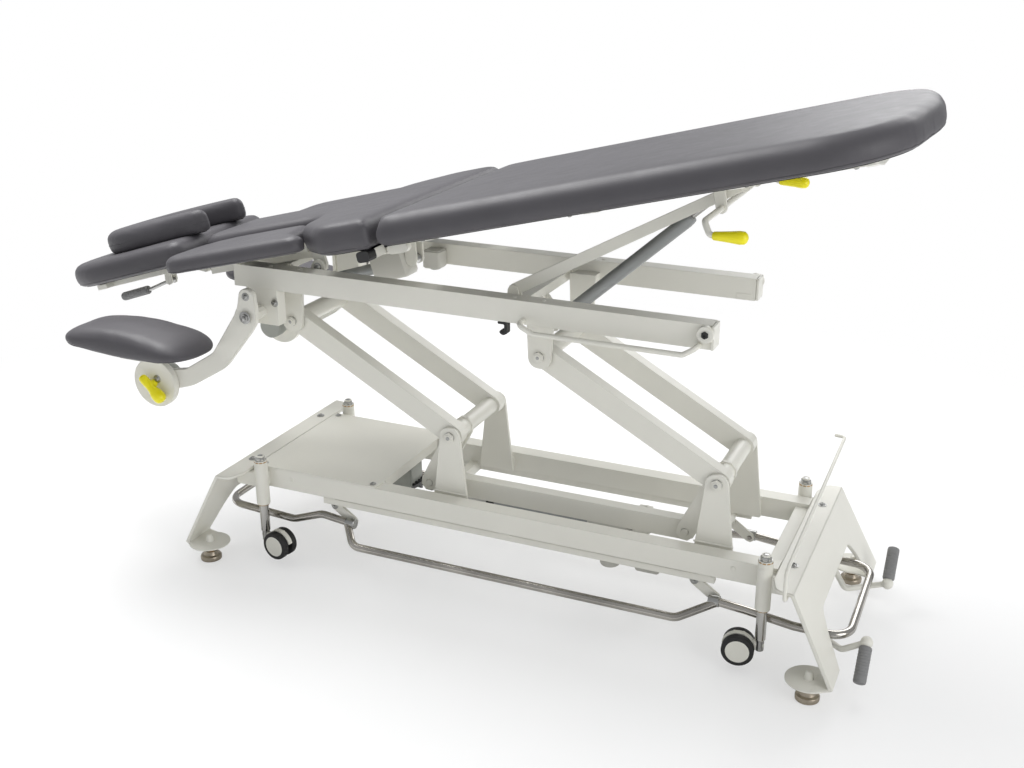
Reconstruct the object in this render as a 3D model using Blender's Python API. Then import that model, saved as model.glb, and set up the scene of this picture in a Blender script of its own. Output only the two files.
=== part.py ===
"""Massage table with seven padded sections on a parallelogram lift.

Metres, +Z up, +X toward the foot end, -Y toward the near long side.
Places are written from the middle between the two lower lift pivots. An empty then
carries the whole table, so that the middle of its length stands over the origin.
"""
import bpy
import bmesh
from math import atan2, cos, hypot, pi, radians, sin, tan
from mathutils import Matrix, Vector

# General
GAP = 0.0003
SEAT = 0.0006
PLATE = 0.008
PIN_R = 0.008
PIN_PLAY = 0.0008
ROUND_SIDES = 10
FINE_SIDES = 16
FLAT_ANGLE = radians(0.2)

# Lift linkage
PIVOT_SPACING = 0.6175
HEAD_PIVOT_X = -0.304
LOW_PIVOT_Z = 0.3694
ARM_LENGTH = 0.4577
ARM_ANGLE = radians(29.06)
ARM_HEIGHT = 0.050
ARM_WIDTH = 0.030
ARM_INNER_Y = 0.0865
CROSS_TUBE_R = 0.0195
CRANK_X = -0.0725
CRANK_Z = -0.140
CRANK_R = 0.021
TIE_BAR_Y = -0.070
TIE_BAR_WIDTH = 0.028
TIE_BAR_HEIGHT = 0.046

# Base frame
RAIL_Y = 0.158
RAIL_WIDTH = 0.038
RAIL_HEIGHT = 0.048
RAIL_TOP = 0.232
BRACKET_Y = 0.123
BRACKET_HALF_BASE = 0.045
BRACKET_TOP_R = 0.022

# End plates and levelling feet
HEAD_FOLD_X = -0.852
FOOT_FOLD_X = 0.513
END_HALF_WIDTH = 0.265
END_LOW_HALF_WIDTH = 0.280
END_FLANGE = 0.050
END_RUN = 0.094
END_LOW_Z = 0.045
END_SHEET = 0.008
RAIL_HEAD_X = HEAD_FOLD_X + END_FLANGE + 0.0006
RAIL_FOOT_X = FOOT_FOLD_X - END_FLANGE - 0.0006
DISC_R = 0.048
FOOT_IN = 0.042
FOOT_Y = 0.255
FOOT_R = 0.025
FOOT_STUD_R = 0.006

# Castors
POST_HEAD_X = -0.771
POST_FOOT_X = 0.4406
POST_Y = 0.1966
POST_R = 0.011
SLEEVE_R = 0.0155
SLEEVE_LOW = 0.146
SLEEVE_TOP = 0.255
POST_LOW = 0.075
WHEEL_R = 0.034
WHEEL_Z = 0.050
WHEEL_WIDTH = 0.016
CASTOR_TRAIL = 0.0434
FORK_WEB = 0.012
NECK_R = 0.0088
HOOD_OUT = 0.0035
HOOD_SHEET = 0.0022
AXLE_R = 0.004

# Upper frame
UPPER_Y = 0.1783
UPPER_WIDTH = 0.0386
UPPER_LOW = 0.6847
UPPER_HEIGHT = 0.050
UPPER_HEAD_X = -0.802
UPPER_FOOT_X = 0.3036

# Sloping top
TILT = radians(14.2)
TOP_ORIGIN_X = -0.370
TOP_ORIGIN_Z = 0.8435
TUBE_LOW = -0.028
TUBE_TOP = -0.003
THORAX_RAIL_Y = 0.090
LEG_RAIL_Y = 0.236
TOP_RAIL_WIDTH = 0.030
PAD_LOW = TUBE_TOP + GAP
PAD_THICKNESS = 0.055
PAD_EDGE = 0.008
PAD_HALF_WIDTH = 0.330
LEG_TIP_X = 0.690
HEAD_TIP_X = -1.378
THORAX_PIVOT_X = -0.610
THORAX_PIVOT_Z = 0.737
HINGE_X = -0.360
HINGE_Z = 0.8285
HEAD_HINGE_X = -0.955
HEAD_HINGE_Z = 0.6836
HEAD_SLOPE = radians(17.2)
SECTION_GAP = 0.010

# Leg stay and gas spring
STAY_Y = -0.120
STAY_LOW_X = -0.145
STAY_LOW_Z = 0.733
STAY_HIGH_X = 0.335
STAY_HIGH_Z = 0.997
STAY_DEPTH = 0.025
STAY_THICKNESS = 0.008
GAS_LOW_X = -0.100
GAS_LOW_Z = 0.630
GAS_HIGH_X = 0.280
GAS_HIGH_Z = 0.968
GAS_CYLINDER_R = 0.0145
GAS_CYLINDER_LENGTH = 0.400
GAS_ROD_R = 0.0055
HANDLE_X = 0.295
HANDLE_Z = 0.951
HANDLE_R = 0.006

# Armrests
ARMREST_Y = 0.240
ARMREST_BOLT_X = -0.740
ARMREST_BOLT_Z = 0.631
ARMREST_HUB_X = -1.003
ARMREST_HUB_Z = 0.441
ARMREST_PLATE = 0.014
HUB_R = 0.0515

# Foot control
CONTROL_R = 0.009
CONTROL_Y = 0.160

# Colours
OFF_WHITE = (0.67, 0.66, 0.60)
VINYL_GREY = (0.125, 0.120, 0.130)
COLORS = {
    "coat": (OFF_WHITE, 0.45, 0.0),
    "vinyl": (VINYL_GREY, 0.42, 0.0),
    "chrome": ((0.75, 0.75, 0.74), 0.15, 1.0),
    "steel": ((0.55, 0.55, 0.54), 0.3, 1.0),
    "bronze": ((0.55, 0.40, 0.20), 0.35, 1.0),
    "yellow": ((0.83, 0.75, 0.01), 0.35, 0.0),
    "rubber": ((0.20, 0.20, 0.20), 0.7, 0.0),
    "black": ((0.02, 0.02, 0.02), 0.5, 0.0),
    "motor": ((0.33, 0.35, 0.31), 0.5, 0.0),
}

# Lift actuator and foot controls
LIFT_FORK_X = -0.345
LIFT_Z = 0.180
LIFT_Y = -0.025
LIFT_EYE_X = 0.125
CONTROL_HEAD_X = -0.601
CONTROL_FOOT_X = 0.283
CONTROL_Z = 0.152
ROCK_SHAFT_R = 0.006
CONTROL_DX = 0.048
CONTROL_DZ = -0.033
PEDAL_X = 0.462
PEDAL_Z = 0.163
PEDAL_Y = 0.120

# Base trim
COVER_FOOT_X = -0.472
ROLL_ROD_R = 0.004
ROLL_X = 0.498
LIFT_ROD_R = 0.010
LIFT_TUBE_R = 0.0145

# Pivot actuator and its frames
THORAX_PLATE_Y = 0.143
PIVOT_MOTOR_Y = -0.050
PIVOT_ROD_X = -0.722
PIVOT_ROD_Z = 0.652
PIVOT_MOTOR_X = -0.420
PIVOT_MOTOR_Z = 0.752
SHEET_RAIL_R = 0.0055

# Side leaves and their strips
LUG_Y = 0.130
LEAF_LOW = 0.014
LEAF_STRIPS = (-0.300, -0.440)
LEAF_THICKNESS = 0.034
PIVOT_TUBE = 0.235

# Leg frame
LEG_FRAME_END = 1.055
RELEASE_LUG_Y = 0.140
HEAD_ORIGIN = (HEAD_HINGE_X, HEAD_HINGE_Z)

# Head section
HEAD_STRIP_TOP = 0.0245
HEAD_PAD_LOW = 0.025
HEAD_LEVER_X = -0.105
HEAD_LEVER_Y = -0.110
HEAD_LEVER_Z = -0.008

# Neck, face cushion and arm pads
NECK_HALF = 0.110
NECK_THICKNESS = 0.060
LEAF_END = -0.520
CUSHION_X = -0.150
CUSHION_HEIGHT = 0.055
CUSHION_ARM = 0.205
ARM_PAD_THICKNESS = 0.050
ARM_PAD_RISE = 0.018
ARM_PAD_SLOPE = radians(2.5)

HEAD_PIVOT = Vector((HEAD_PIVOT_X, 0.0, LOW_PIVOT_Z))
FOOT_PIVOT = HEAD_PIVOT + Vector((PIVOT_SPACING, 0.0, 0.0))
ARM_REACH = Vector((-ARM_LENGTH * cos(ARM_ANGLE), 0.0, ARM_LENGTH * sin(ARM_ANGLE)))
HEAD_UPPER = HEAD_PIVOT + ARM_REACH
FOOT_UPPER = FOOT_PIVOT + ARM_REACH
CRANK = Vector((CRANK_X, 0.0, CRANK_Z))
SHIFT_X = -(LEG_TIP_X + HEAD_TIP_X) / 2
SIDES = (-1.0, 1.0)


def clear_scene():
    for item in list(bpy.data.objects):
        bpy.data.objects.remove(item, do_unlink=True)


def make_material(name, color, roughness, metallic=0.0):
    material = bpy.data.materials.new(name)
    material.use_nodes = True
    shader = material.node_tree.nodes["Principled BSDF"]
    shader.inputs["Base Color"].default_value = (*color, 1.0)
    shader.inputs["Roughness"].default_value = roughness
    shader.inputs["Metallic"].default_value = metallic
    return material


clear_scene()
MATERIAL = {}
for color_name, (color, roughness, metallic) in COLORS.items():
    MATERIAL[color_name] = make_material(color_name, color, roughness, metallic)

TABLE = bpy.data.objects.new("table_origin", None)
TABLE.location = (SHIFT_X, 0.0, 0.0)
bpy.context.scene.collection.objects.link(TABLE)


# Solids

def link_mesh(bm, name="solid"):
    """Turn a bmesh into an object, with its faces pointing out."""
    bmesh.ops.recalc_face_normals(bm, faces=bm.faces)
    mesh = bpy.data.meshes.new(name)
    bm.to_mesh(mesh)
    bm.free()
    item = bpy.data.objects.new(name, mesh)
    bpy.context.scene.collection.objects.link(item)
    return item


def loft(rings):
    """A closed solid through rings with equal numbers of points."""
    bm = bmesh.new()
    loops = []
    for ring in rings:
        loops.append([bm.verts.new(point) for point in ring])
    for lower, upper in zip(loops, loops[1:]):
        for index in range(len(lower)):
            after = (index + 1) % len(lower)
            bm.faces.new((lower[index], lower[after], upper[after], upper[index]))
    bm.faces.new(loops[0])
    bm.faces.new(loops[-1])
    return link_mesh(bm)


def box(x0, x1, y0, y1, z0, z1):
    """A box between two values on each axis."""
    low = [(x0, y0, z0), (x1, y0, z0), (x1, y1, z0), (x0, y1, z0)]
    high = [(x, y, z1) for x, y, _ in low]
    return loft([low, high])


def prism(points, axis, low, high):
    """An outline pushed along an axis; the outline's pairs are the other two axes in order."""
    rings = []
    for value in (low, high):
        if axis == "x":
            rings.append([(value, a, b) for a, b in points])
        elif axis == "y":
            rings.append([(a, value, b) for a, b in points])
        else:
            rings.append([(a, b, value) for a, b in points])
    return loft(rings)


def frame_across(direction):
    """Two unit vectors square to a direction."""
    direction = direction.normalized()
    helper = Vector((0.0, 1.0, 0.0)) if abs(direction.y) < 0.9 else Vector((1.0, 0.0, 0.0))
    first = direction.cross(helper).normalized()
    return first, direction.cross(first).normalized()


def bar(start, end, radius, sides=ROUND_SIDES, end_radius=None):
    """A round bar, or a cone, between two points."""
    start = Vector(start)
    end = Vector(end)
    first, second = frame_across(end - start)
    rings = []
    for centre, size in ((start, radius), (end, radius if end_radius is None else end_radius)):
        turn = [2 * pi * step / sides for step in range(sides)]
        rings.append([centre + size * (cos(a) * first + sin(a) * second) for a in turn])
    return loft(rings)


def pin(x, z, y0, y1, radius, sides=ROUND_SIDES):
    """A round bar across the table."""
    return bar((x, y0, z), (x, y1, z), radius, sides)


def turned(profile, centre, axis="z", sides=FINE_SIDES):
    """A solid turned from (radius, height) pairs round an axis through a point."""
    rings = []
    for radius, height in profile:
        ring = []
        for step in range(sides):
            angle = 2 * pi * step / sides
            a, b = radius * cos(angle), radius * sin(angle)
            offset = {"z": (a, b, height), "y": (a, height, b), "x": (height, a, b)}[axis]
            ring.append(Vector(centre) + Vector(offset))
        rings.append(ring)
    return loft(rings)


def rounded_path(points, radius, steps=5):
    """A path whose corners are swept with a radius."""
    points = [Vector(point) for point in points]
    path = [points[0]]
    for before, corner, after in zip(points, points[1:], points[2:]):
        back = (before - corner)
        ahead = (after - corner)
        half = back.angle(ahead) / 2
        reach = min(radius / tan(half), back.length * 0.49, ahead.length * 0.49)
        swept = reach * tan(half)
        middle = (back.normalized() + ahead.normalized()).normalized()
        centre = corner + middle * (swept / sin(half))
        start = corner + back.normalized() * reach - centre
        end = corner + ahead.normalized() * reach - centre
        for step in range(steps + 1):
            share = step / steps
            mixed = start.slerp(end, share) if hasattr(start, "slerp") else start.lerp(end, share)
            path.append(centre + mixed.normalized() * swept)
    path.append(points[-1])
    return path


def bent_bar(points, radius, bend, sides=8, steps=4):
    """A round bar along a path with swept corners."""
    path = rounded_path(points, bend, steps)
    rings = []
    first = None
    for index, point in enumerate(path):
        before = path[max(index - 1, 0)]
        after = path[min(index + 1, len(path) - 1)]
        ahead = (after - before).normalized()
        if first is None:
            first = frame_across(ahead)[0]
        first = (first - first.dot(ahead) * ahead).normalized()
        second = ahead.cross(first)
        turn = [2 * pi * step / sides for step in range(sides)]
        rings.append([point + radius * (cos(a) * first + sin(a) * second) for a in turn])
    return loft(rings)


def rounded_outline(points, radii, steps=2):
    """A closed 2-D outline whose corners are swept with one radius each."""
    outline = []
    count = len(points)
    for index in range(count):
        corner = Vector(points[index])
        back = Vector(points[index - 1]) - corner
        ahead = Vector(points[(index + 1) % count]) - corner
        radius = radii[index] if isinstance(radii, (list, tuple)) else radii
        if radius == 0:
            outline.append(tuple(corner))
            continue
        half = back.angle(ahead) / 2
        reach = min(radius / tan(half), back.length * 0.49, ahead.length * 0.49)
        swept = reach * tan(half)
        middle = (back.normalized() + ahead.normalized()).normalized()
        centre = corner + middle * (swept / sin(half))
        start = corner + back.normalized() * reach - centre
        end = corner + ahead.normalized() * reach - centre
        first = atan2(start.y, start.x)
        sweep = (atan2(end.y, end.x) - first + pi) % (2 * pi) - pi
        for step in range(steps + 1):
            angle = first + sweep * step / steps
            outline.append((centre.x + swept * cos(angle), centre.y + swept * sin(angle)))
    return outline


def link_outline(start, end, start_r, end_r, steps=4):
    """The outline of a flat link: two round ends joined by straight sides."""
    dx, dz = end[0] - start[0], end[1] - start[1]
    heading = atan2(dz, dx)
    lean = (start_r - end_r) / hypot(dx, dz)
    outline = []
    for centre, radius, base in ((start, start_r, heading + pi), (end, end_r, heading)):
        half = pi / 2 + (-lean if centre is end else lean)
        for step in range(steps + 1):
            angle = base - half + 2 * half * step / steps
            outline.append((centre[0] + radius * cos(angle), centre[1] + radius * sin(angle)))
    return outline


def link(start, end, start_r, end_r, y0, y1, steps=4):
    """A flat link standing across the table between two pivots."""
    return prism(link_outline(start, end, start_r, end_r, steps), "y", y0, y1)


# Joining

def apply_boolean(target, tool, operation):
    modifier = target.modifiers.new(operation.lower(), "BOOLEAN")
    modifier.operation = operation
    modifier.solver = "EXACT"
    modifier.object = tool
    graph = bpy.context.evaluated_depsgraph_get()
    mesh = bpy.data.meshes.new_from_object(target.evaluated_get(graph))
    target.modifiers.clear()
    old = target.data
    target.data = mesh
    bpy.data.meshes.remove(old)
    tool_mesh = tool.data
    bpy.data.objects.remove(tool, do_unlink=True)
    bpy.data.meshes.remove(tool_mesh)


def merge_flat(target):
    """Merge the faces that lie in one plane."""
    bm = bmesh.new()
    bm.from_mesh(target.data)
    bmesh.ops.dissolve_limit(bm, angle_limit=FLAT_ANGLE, verts=bm.verts, edges=bm.edges)
    bmesh.ops.triangulate(bm, faces=bm.faces)
    if all(edge.is_manifold for edge in bm.edges):
        bm.to_mesh(target.data)
    bm.free()


def fuse(solids, cuts=()):
    """One body from overlapping solids, less the cuts."""
    target = solids[0]
    for solid in solids[1:]:
        apply_boolean(target, solid, "UNION")
    for cut in cuts:
        apply_boolean(target, cut, "DIFFERENCE")
    merge_flat(target)
    return target


def piece(name, item, material, origin=(0.0, 0.0, 0.0)):
    """Name a finished solid, colour it, and put its origin on its axis."""
    origin = Vector(origin)
    item.name = name
    item.data.name = name
    item.data.transform(Matrix.Translation(-origin))
    item.location = origin
    item.parent = TABLE
    item.data.materials.clear()
    item.data.materials.append(MATERIAL[material])
    item.data.shade_smooth()
    item.data.set_sharp_from_angle(angle=radians(35))
    return item


def on_top(item, slope=TILT, origin=(TOP_ORIGIN_X, TOP_ORIGIN_Z)):
    """Lay a solid drawn level, from (0, 0), onto the sloping top."""
    turn = Matrix.Rotation(-slope, 4, "Y")
    item.data.transform(Matrix.Translation((origin[0], 0.0, origin[1])) @ turn)
    return item


def level(x, z, slope=TILT, origin=(TOP_ORIGIN_X, TOP_ORIGIN_Z)):
    """Where a place on the sloping top lies in the level drawing."""
    dx, dz = x - origin[0], z - origin[1]
    return dx * cos(slope) + dz * sin(slope), dz * cos(slope) - dx * sin(slope)


# Base

def make_base_frame():
    low = RAIL_TOP - RAIL_HEIGHT
    end_y = RAIL_Y + RAIL_WIDTH / 2
    solids = []
    cuts = []
    cross_top = RAIL_TOP - END_SHEET - SEAT
    for x0, x1 in ((HEAD_FOLD_X + 0.012, RAIL_HEAD_X + 0.03), (RAIL_FOOT_X - 0.03, FOOT_FOLD_X - 0.012)):
        solids.append(box(x0, x1, -0.200, 0.200, low + 0.004, cross_top))
    for side in SIDES:
        y0, y1 = sorted((side * (end_y - RAIL_WIDTH), side * end_y))
        solids.append(box(RAIL_HEAD_X, RAIL_FOOT_X, y0, y1, low, RAIL_TOP))
        y0, y1 = sorted((side * 0.152, side * 0.168))
        solids.append(box(-0.62, 0.33, y0, y1, low - 0.021, low - 0.006))
        for x in (-0.60, -0.15, 0.31):
            solids.append(box(x - 0.012, x + 0.012, y0, y1, low - 0.012, low + 0.004))
        for x in (POST_HEAD_X, POST_FOOT_X):
            profile = [(SLEEVE_R, SLEEVE_LOW), (SLEEVE_R, SLEEVE_TOP + 0.004), (0.011, SLEEVE_TOP + 0.005),
                       (0.009, SLEEVE_TOP + 0.0155)]
            solids.append(turned(profile, (x, side * POST_Y, 0.0), sides=ROUND_SIDES))
            y0, y1 = sorted((side * (end_y - 0.006), side * (POST_Y - 0.010)))
            solids.append(box(x - 0.008, x + 0.008, y0, y1, low + 0.006, RAIL_TOP - 0.008))
            cuts.append(bar((x, side * POST_Y, SLEEVE_LOW - 0.01), (x, side * POST_Y, SLEEVE_TOP - 0.006),
                            POST_R + 0.0006))
        for pivot in (HEAD_PIVOT, FOOT_PIVOT):
            outline = [(pivot.x - BRACKET_HALF_BASE, low + 0.004),
                       (pivot.x + BRACKET_HALF_BASE, low + 0.004),
                       (pivot.x + BRACKET_TOP_R, pivot.z + BRACKET_TOP_R),
                       (pivot.x - BRACKET_TOP_R, pivot.z + BRACKET_TOP_R)]
            y0, y1 = sorted((side * (BRACKET_Y - PLATE / 2), side * (BRACKET_Y + PLATE / 2)))
            shape = rounded_outline(outline, [0.004, 0.004, BRACKET_TOP_R, BRACKET_TOP_R], 4)
            solids.append(prism(shape, "y", y0, y1))
            y0, y1 = sorted((side * (BRACKET_Y - 0.001), side * (end_y - RAIL_WIDTH + 0.003)))
            solids.append(box(pivot.x - 0.040, pivot.x + 0.040, y0, y1, low + 0.010, RAIL_TOP - 0.010))
            cuts.append(pin(pivot.x, pivot.z, side * 0.100, side * 0.140, PIN_R + PIN_PLAY))
    solids.append(box(LIFT_FORK_X - 0.040, LIFT_FORK_X - 0.018, -0.163, 0.163, low - 0.021, low + 0.004))
    for side in SIDES:
        y0 = LIFT_Y + side * 0.0125
        solids.append(link((LIFT_FORK_X - 0.028, LIFT_Z), (LIFT_FORK_X, LIFT_Z), 0.012, 0.012,
                           *sorted((y0 - side * 0.004, y0 + side * 0.004))))
    solids.append(pin(LIFT_FORK_X, LIFT_Z, LIFT_Y - 0.018, LIFT_Y + 0.018, 0.006))
    solids.append(box(CONTROL_FOOT_X - 0.012, CONTROL_FOOT_X + 0.012, -0.163, 0.163, low - 0.021, low + 0.004))
    solids.append(box(CONTROL_HEAD_X - 0.012, CONTROL_HEAD_X + 0.012, -0.163, 0.163, low - 0.021, low + 0.004))
    for x in (CONTROL_HEAD_X, CONTROL_FOOT_X):
        for side in SIDES:
            y0, y1 = sorted((side * 0.130, side * 0.142))
            solids.append(link((x, low - 0.010), (x, CONTROL_Z), 0.012, 0.012, y0, y1))
            cuts.append(pin(x, CONTROL_Z, side * 0.120, side * 0.150, ROCK_SHAFT_R + 0.0006))
    for side in SIDES:
        y = side * PEDAL_Y
        solids.append(box(PEDAL_X - 0.018, PEDAL_X + 0.012, *sorted((y - 0.016, y + 0.016)),
                          low - 0.006, low + 0.008))
        for edge in SIDES:
            solids.append(link((PEDAL_X, PEDAL_Z), (PEDAL_X, low), 0.010, 0.010,
                               *sorted((y + edge * 0.010, y + edge * 0.015))))
        solids.append(pin(PEDAL_X, PEDAL_Z, y - 0.0125, y + 0.0125, 0.004))
    piece("base_frame", fuse(solids, cuts), "coat")


def make_end_plate(name, fold_x, out):
    """A sheet folded down from a flange, cut away between two legs that end in discs."""
    drop = RAIL_TOP - END_LOW_Z
    lean = atan2(END_RUN, drop)
    run = hypot(END_RUN, drop)
    inner_x = fold_x - out * END_FLANGE
    flange = [(fold_x, -END_HALF_WIDTH), (fold_x, END_HALF_WIDTH),
              (inner_x + out * 0.014, END_HALF_WIDTH - 0.004), (inner_x, POST_Y + 0.024),
              (inner_x, -POST_Y - 0.024), (inner_x + out * 0.014, 0.004 - END_HALF_WIDTH)]
    solids = [prism(rounded_outline(flange, [0.002, 0.002, 0.02, 0.03, 0.03, 0.02]), "z",
                    RAIL_TOP - END_SHEET, RAIL_TOP)]
    half = [(END_HALF_WIDTH, 0.0), (END_LOW_HALF_WIDTH, run), (0.212, run), (0.172, 0.60 * run),
            (0.150, 0.44 * run)]
    outline = half + [(-y, s) for y, s in reversed(half)]
    radii = [0.004, 0.012, 0.012, 0.05, 0.025]
    shape = rounded_outline(outline, radii + radii[::-1])
    face = prism(shape, "x", -END_SHEET, 0.0)
    face.data.transform(Matrix.Rotation(pi, 4, "X"))
    if out > 0:
        face.data.transform(Matrix.Rotation(-lean, 4, "Y"))
    else:
        face.data.transform(Matrix.Rotation(pi, 4, "Z"))
        face.data.transform(Matrix.Rotation(lean, 4, "Y"))
    face.data.transform(Matrix.Translation((fold_x, 0.0, RAIL_TOP)))
    solids.append(face)
    foot_x = fold_x + out * FOOT_IN
    nut_top = END_LOW_Z - END_SHEET / 4
    for side in SIDES:
        centre = (foot_x, side * FOOT_Y)
        solids.append(bar((*centre, END_LOW_Z - END_SHEET / 2), (*centre, END_LOW_Z + END_SHEET / 2),
                          DISC_R, FINE_SIDES))
        profile = [(FOOT_R, 0.0), (FOOT_R, 0.009), (0.011, 0.022), (0.011, nut_top),
                   (FOOT_STUD_R, nut_top), (FOOT_STUD_R, 0.062)]
        solids.append(turned(profile, (*centre, 0.0), sides=12))
    piece(name, fuse(solids), "coat")


def make_base_trim():
    """Cover plate, control box, bushes with cap nuts, and the paper-roll holder."""
    top = RAIL_TOP + GAP
    edge_y = RAIL_Y + RAIL_WIDTH / 2
    plate = fuse([box(HEAD_FOLD_X + END_FLANGE + 0.006, COVER_FOOT_X, -edge_y, edge_y, top, top + 0.003),
                  box(COVER_FOOT_X - 0.003, COVER_FOOT_X, -0.130, 0.130, top - 0.022, top + 0.001)])
    piece("cover_plate", plate, "coat")
    shell = rounded_outline([(COVER_FOOT_X - 0.060, 0.146), (COVER_FOOT_X - 0.006, 0.146),
                             (COVER_FOOT_X - 0.006, 0.206), (COVER_FOOT_X - 0.060, 0.206)], 0.006)
    parts = [prism(shell, "y", 0.0, 0.060)]
    for y in (0.010, 0.044):
        parts.append(box(COVER_FOOT_X - 0.040, COVER_FOOT_X - 0.020, y, y + 0.006, 0.200, top - SEAT))
    piece("control_box", fuse(parts), "motor")
    low = RAIL_TOP - END_SHEET - GAP - ROLL_ROD_R
    out_y = -END_HALF_WIDTH - 0.013
    path = [(ROLL_X, out_y + 0.070, low), (ROLL_X, out_y, low), (ROLL_X, out_y, 0.285),
            (ROLL_X, out_y + 0.050, 0.290), (ROLL_X, 0.345, 0.322),
            (ROLL_X - 0.024, 0.349, 0.322)]
    piece("paper_roll_holder", bent_bar(path, ROLL_ROD_R, 0.010, 8, 3), "chrome")


def castor_headings():
    """Each castor's name, post place and the way its wheels trail."""
    return (("head_near", POST_HEAD_X, -1.0, radians(-8)), ("head_far", POST_HEAD_X, 1.0, radians(40)),
            ("foot_near", POST_FOOT_X, -1.0, radians(-172)), ("foot_far", POST_FOOT_X, 1.0, radians(125)))


def make_castors():
    top = SLEEVE_TOP - 0.006 - 0.024
    for name, x, side, heading in castor_headings():
        y = side * POST_Y
        post = fuse([turned([(POST_R, POST_LOW), (POST_R, top)], (x, y, 0.0), sides=14)],
                    [bar((x, y, POST_LOW - 0.01), (x, y, POST_LOW + 0.022), 0.0055, 14)])
        piece("castor_post_" + name, post, "chrome", (x, y, POST_LOW))
        along = Vector((cos(heading), sin(heading), 0.0))
        across = Vector((-along.y, along.x, 0.0))
        axle = Vector((x, y, WHEEL_Z)) + CASTOR_TRAIL * along
        outline = link_outline((0.0, 0.0), (-CASTOR_TRAIL, 0.013), 0.014, 0.0088)
        web = prism(outline, "y", -FORK_WEB / 2, FORK_WEB / 2)
        hood_r = WHEEL_R + HOOD_OUT
        arc = [radians(35 + 110 * step / 8) for step in range(9)]
        hood_outline = [(hood_r * cos(a), hood_r * sin(a)) for a in arc]
        hood_outline += [((hood_r - HOOD_SHEET) * cos(a), (hood_r - HOOD_SHEET) * sin(a)) for a in reversed(arc)]
        hood = prism(hood_outline, "y", -0.019, 0.019)
        stem = prism([(-0.012, 0.0), (0.012, 0.0), (0.012, hood_r - 0.001), (-0.012, hood_r - 0.001)], "y",
                     -FORK_WEB / 2, FORK_WEB / 2)
        bore = bar((0.0, -0.03, 0.0), (0.0, 0.03, 0.0), AXLE_R + 0.0006, 14)
        fork = fuse([web, stem, hood], [bore])
        turn = Matrix.Translation(axle) @ Matrix.Rotation(heading, 4, "Z")
        fork.data.transform(turn)
        neck = turned([(NECK_R, POST_LOW - 0.026), (NECK_R, POST_LOW - GAP), (0.005, POST_LOW - GAP),
                       (0.005, POST_LOW + 0.020)], (x, y, 0.0), sides=14)
        piece("castor_fork_" + name, fuse([fork, neck]), "black", (x, y, WHEEL_Z))
        inner = FORK_WEB / 2 + GAP * 2
        outer = inner + WHEEL_WIDTH
        half = [(AXLE_R, inner), (WHEEL_R, inner), (WHEEL_R, outer - 0.003),
                (WHEEL_R - 0.003, outer), (0.024, outer), (0.021, outer - 0.003)]
        profile = [(r, -h) for r, h in reversed(half)] + half
        wheels = turned(profile, (0.0, 0.0, 0.0), "y", 14)
        wheels.data.transform(turn)
        piece("castor_wheels_" + name, wheels, "black", axle)


# Foot controls

def make_pedals():
    for name, side, low, high in (("near", -1.0, 0.065, 0.094), ("far", 1.0, 0.048, 0.066)):
        y = side * PEDAL_Y
        out_y = side * (PEDAL_Y + 0.034)
        joint = Vector((0.648, out_y, high))
        path = [(PEDAL_X, y, PEDAL_Z), (0.500, y, 0.150), (0.560, y + side * 0.004, low),
                (0.600, out_y, low), joint]
        eye = pin(PEDAL_X, PEDAL_Z, y - 0.0095, y + 0.0095, 0.0085)
        arm = bent_bar(path, 0.0065, 0.018, 8, 3)
        ball = turned([(0.005, -0.010), (0.010, -0.006), (0.0125, 0.0), (0.010, 0.006), (0.005, 0.010)],
                      joint, sides=16)
        bore = pin(PEDAL_X, PEDAL_Z, y - 0.02, y + 0.02, 0.0045)
        grip_way = Vector((0.0, side * 0.707, -0.707 if side < 0 else 0.707))
        grip = bar(joint + grip_way * 0.010, joint + grip_way * 0.086, 0.013, 12)
        piece("castor_pedal_" + name, fuse([arm, eye, ball, grip], [bore]), "coat", (PEDAL_X, y, PEDAL_Z))


def make_control_frame():
    """A round-bar frame near the floor, hung on four swing levers."""
    knuckles = {}
    for name, x in (("head", CONTROL_HEAD_X), ("foot", CONTROL_FOOT_X)):
        low = (x + CONTROL_DX, CONTROL_Z + CONTROL_DZ)
        knuckles[name] = low
        solids = [pin(x, CONTROL_Z, 0.012 - CONTROL_Y, CONTROL_Y - 0.012, ROCK_SHAFT_R)]
        bores = []
        for side in SIDES:
            y0, y1 = sorted((side * (CONTROL_Y - 0.016), side * (CONTROL_Y - 0.010)))
            solids.append(link((x, CONTROL_Z), low, 0.011, 0.011, y0, y1))
            bores.append(pin(low[0], low[1], side * 0.13, side * 0.18, 0.0057))
        piece(name + "_swing_levers", fuse(solids, bores), "coat", (x, 0.0, CONTROL_Z))
    solids = []
    head, foot = knuckles["head"], knuckles["foot"]
    side_bar_y = CONTROL_Y + 0.045
    for side in SIDES:
        y = side * CONTROL_Y
        path = [(head[0] - 0.010, y, head[1]), (head[0] + 0.030, side * side_bar_y, 0.086),
                (foot[0] - 0.070, side * side_bar_y, 0.086), (foot[0] + 0.010, y, foot[1])]
        solids.append(bent_bar(path, CONTROL_R, 0.035, 8, 3))
        for low in (head, foot):
            solids.append(pin(low[0], low[1], side * (CONTROL_Y - 0.0185), y, 0.005))
    loops = ((head, (-0.632, 0.128), (-0.712, 0.099), (-0.905, 0.110)),
             (foot, (0.400, 0.112), (0.500, 0.099), (0.612, 0.097)))
    for start, first, second, far in loops:
        path = []
        for side in SIDES:
            stretch = [(start[0], side * CONTROL_Y, start[1]), (first[0], side * CONTROL_Y, first[1]),
                       (second[0], side * CONTROL_Y, second[1]), (far[0], side * CONTROL_Y, far[1])]
            path += stretch if side < 0 else stretch[::-1]
        solids.append(bent_bar(path, CONTROL_R, 0.045, 8, 4))
    piece("control_frame", fuse(solids), "chrome", (head[0], 0.0, head[1]))


# Lift

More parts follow.
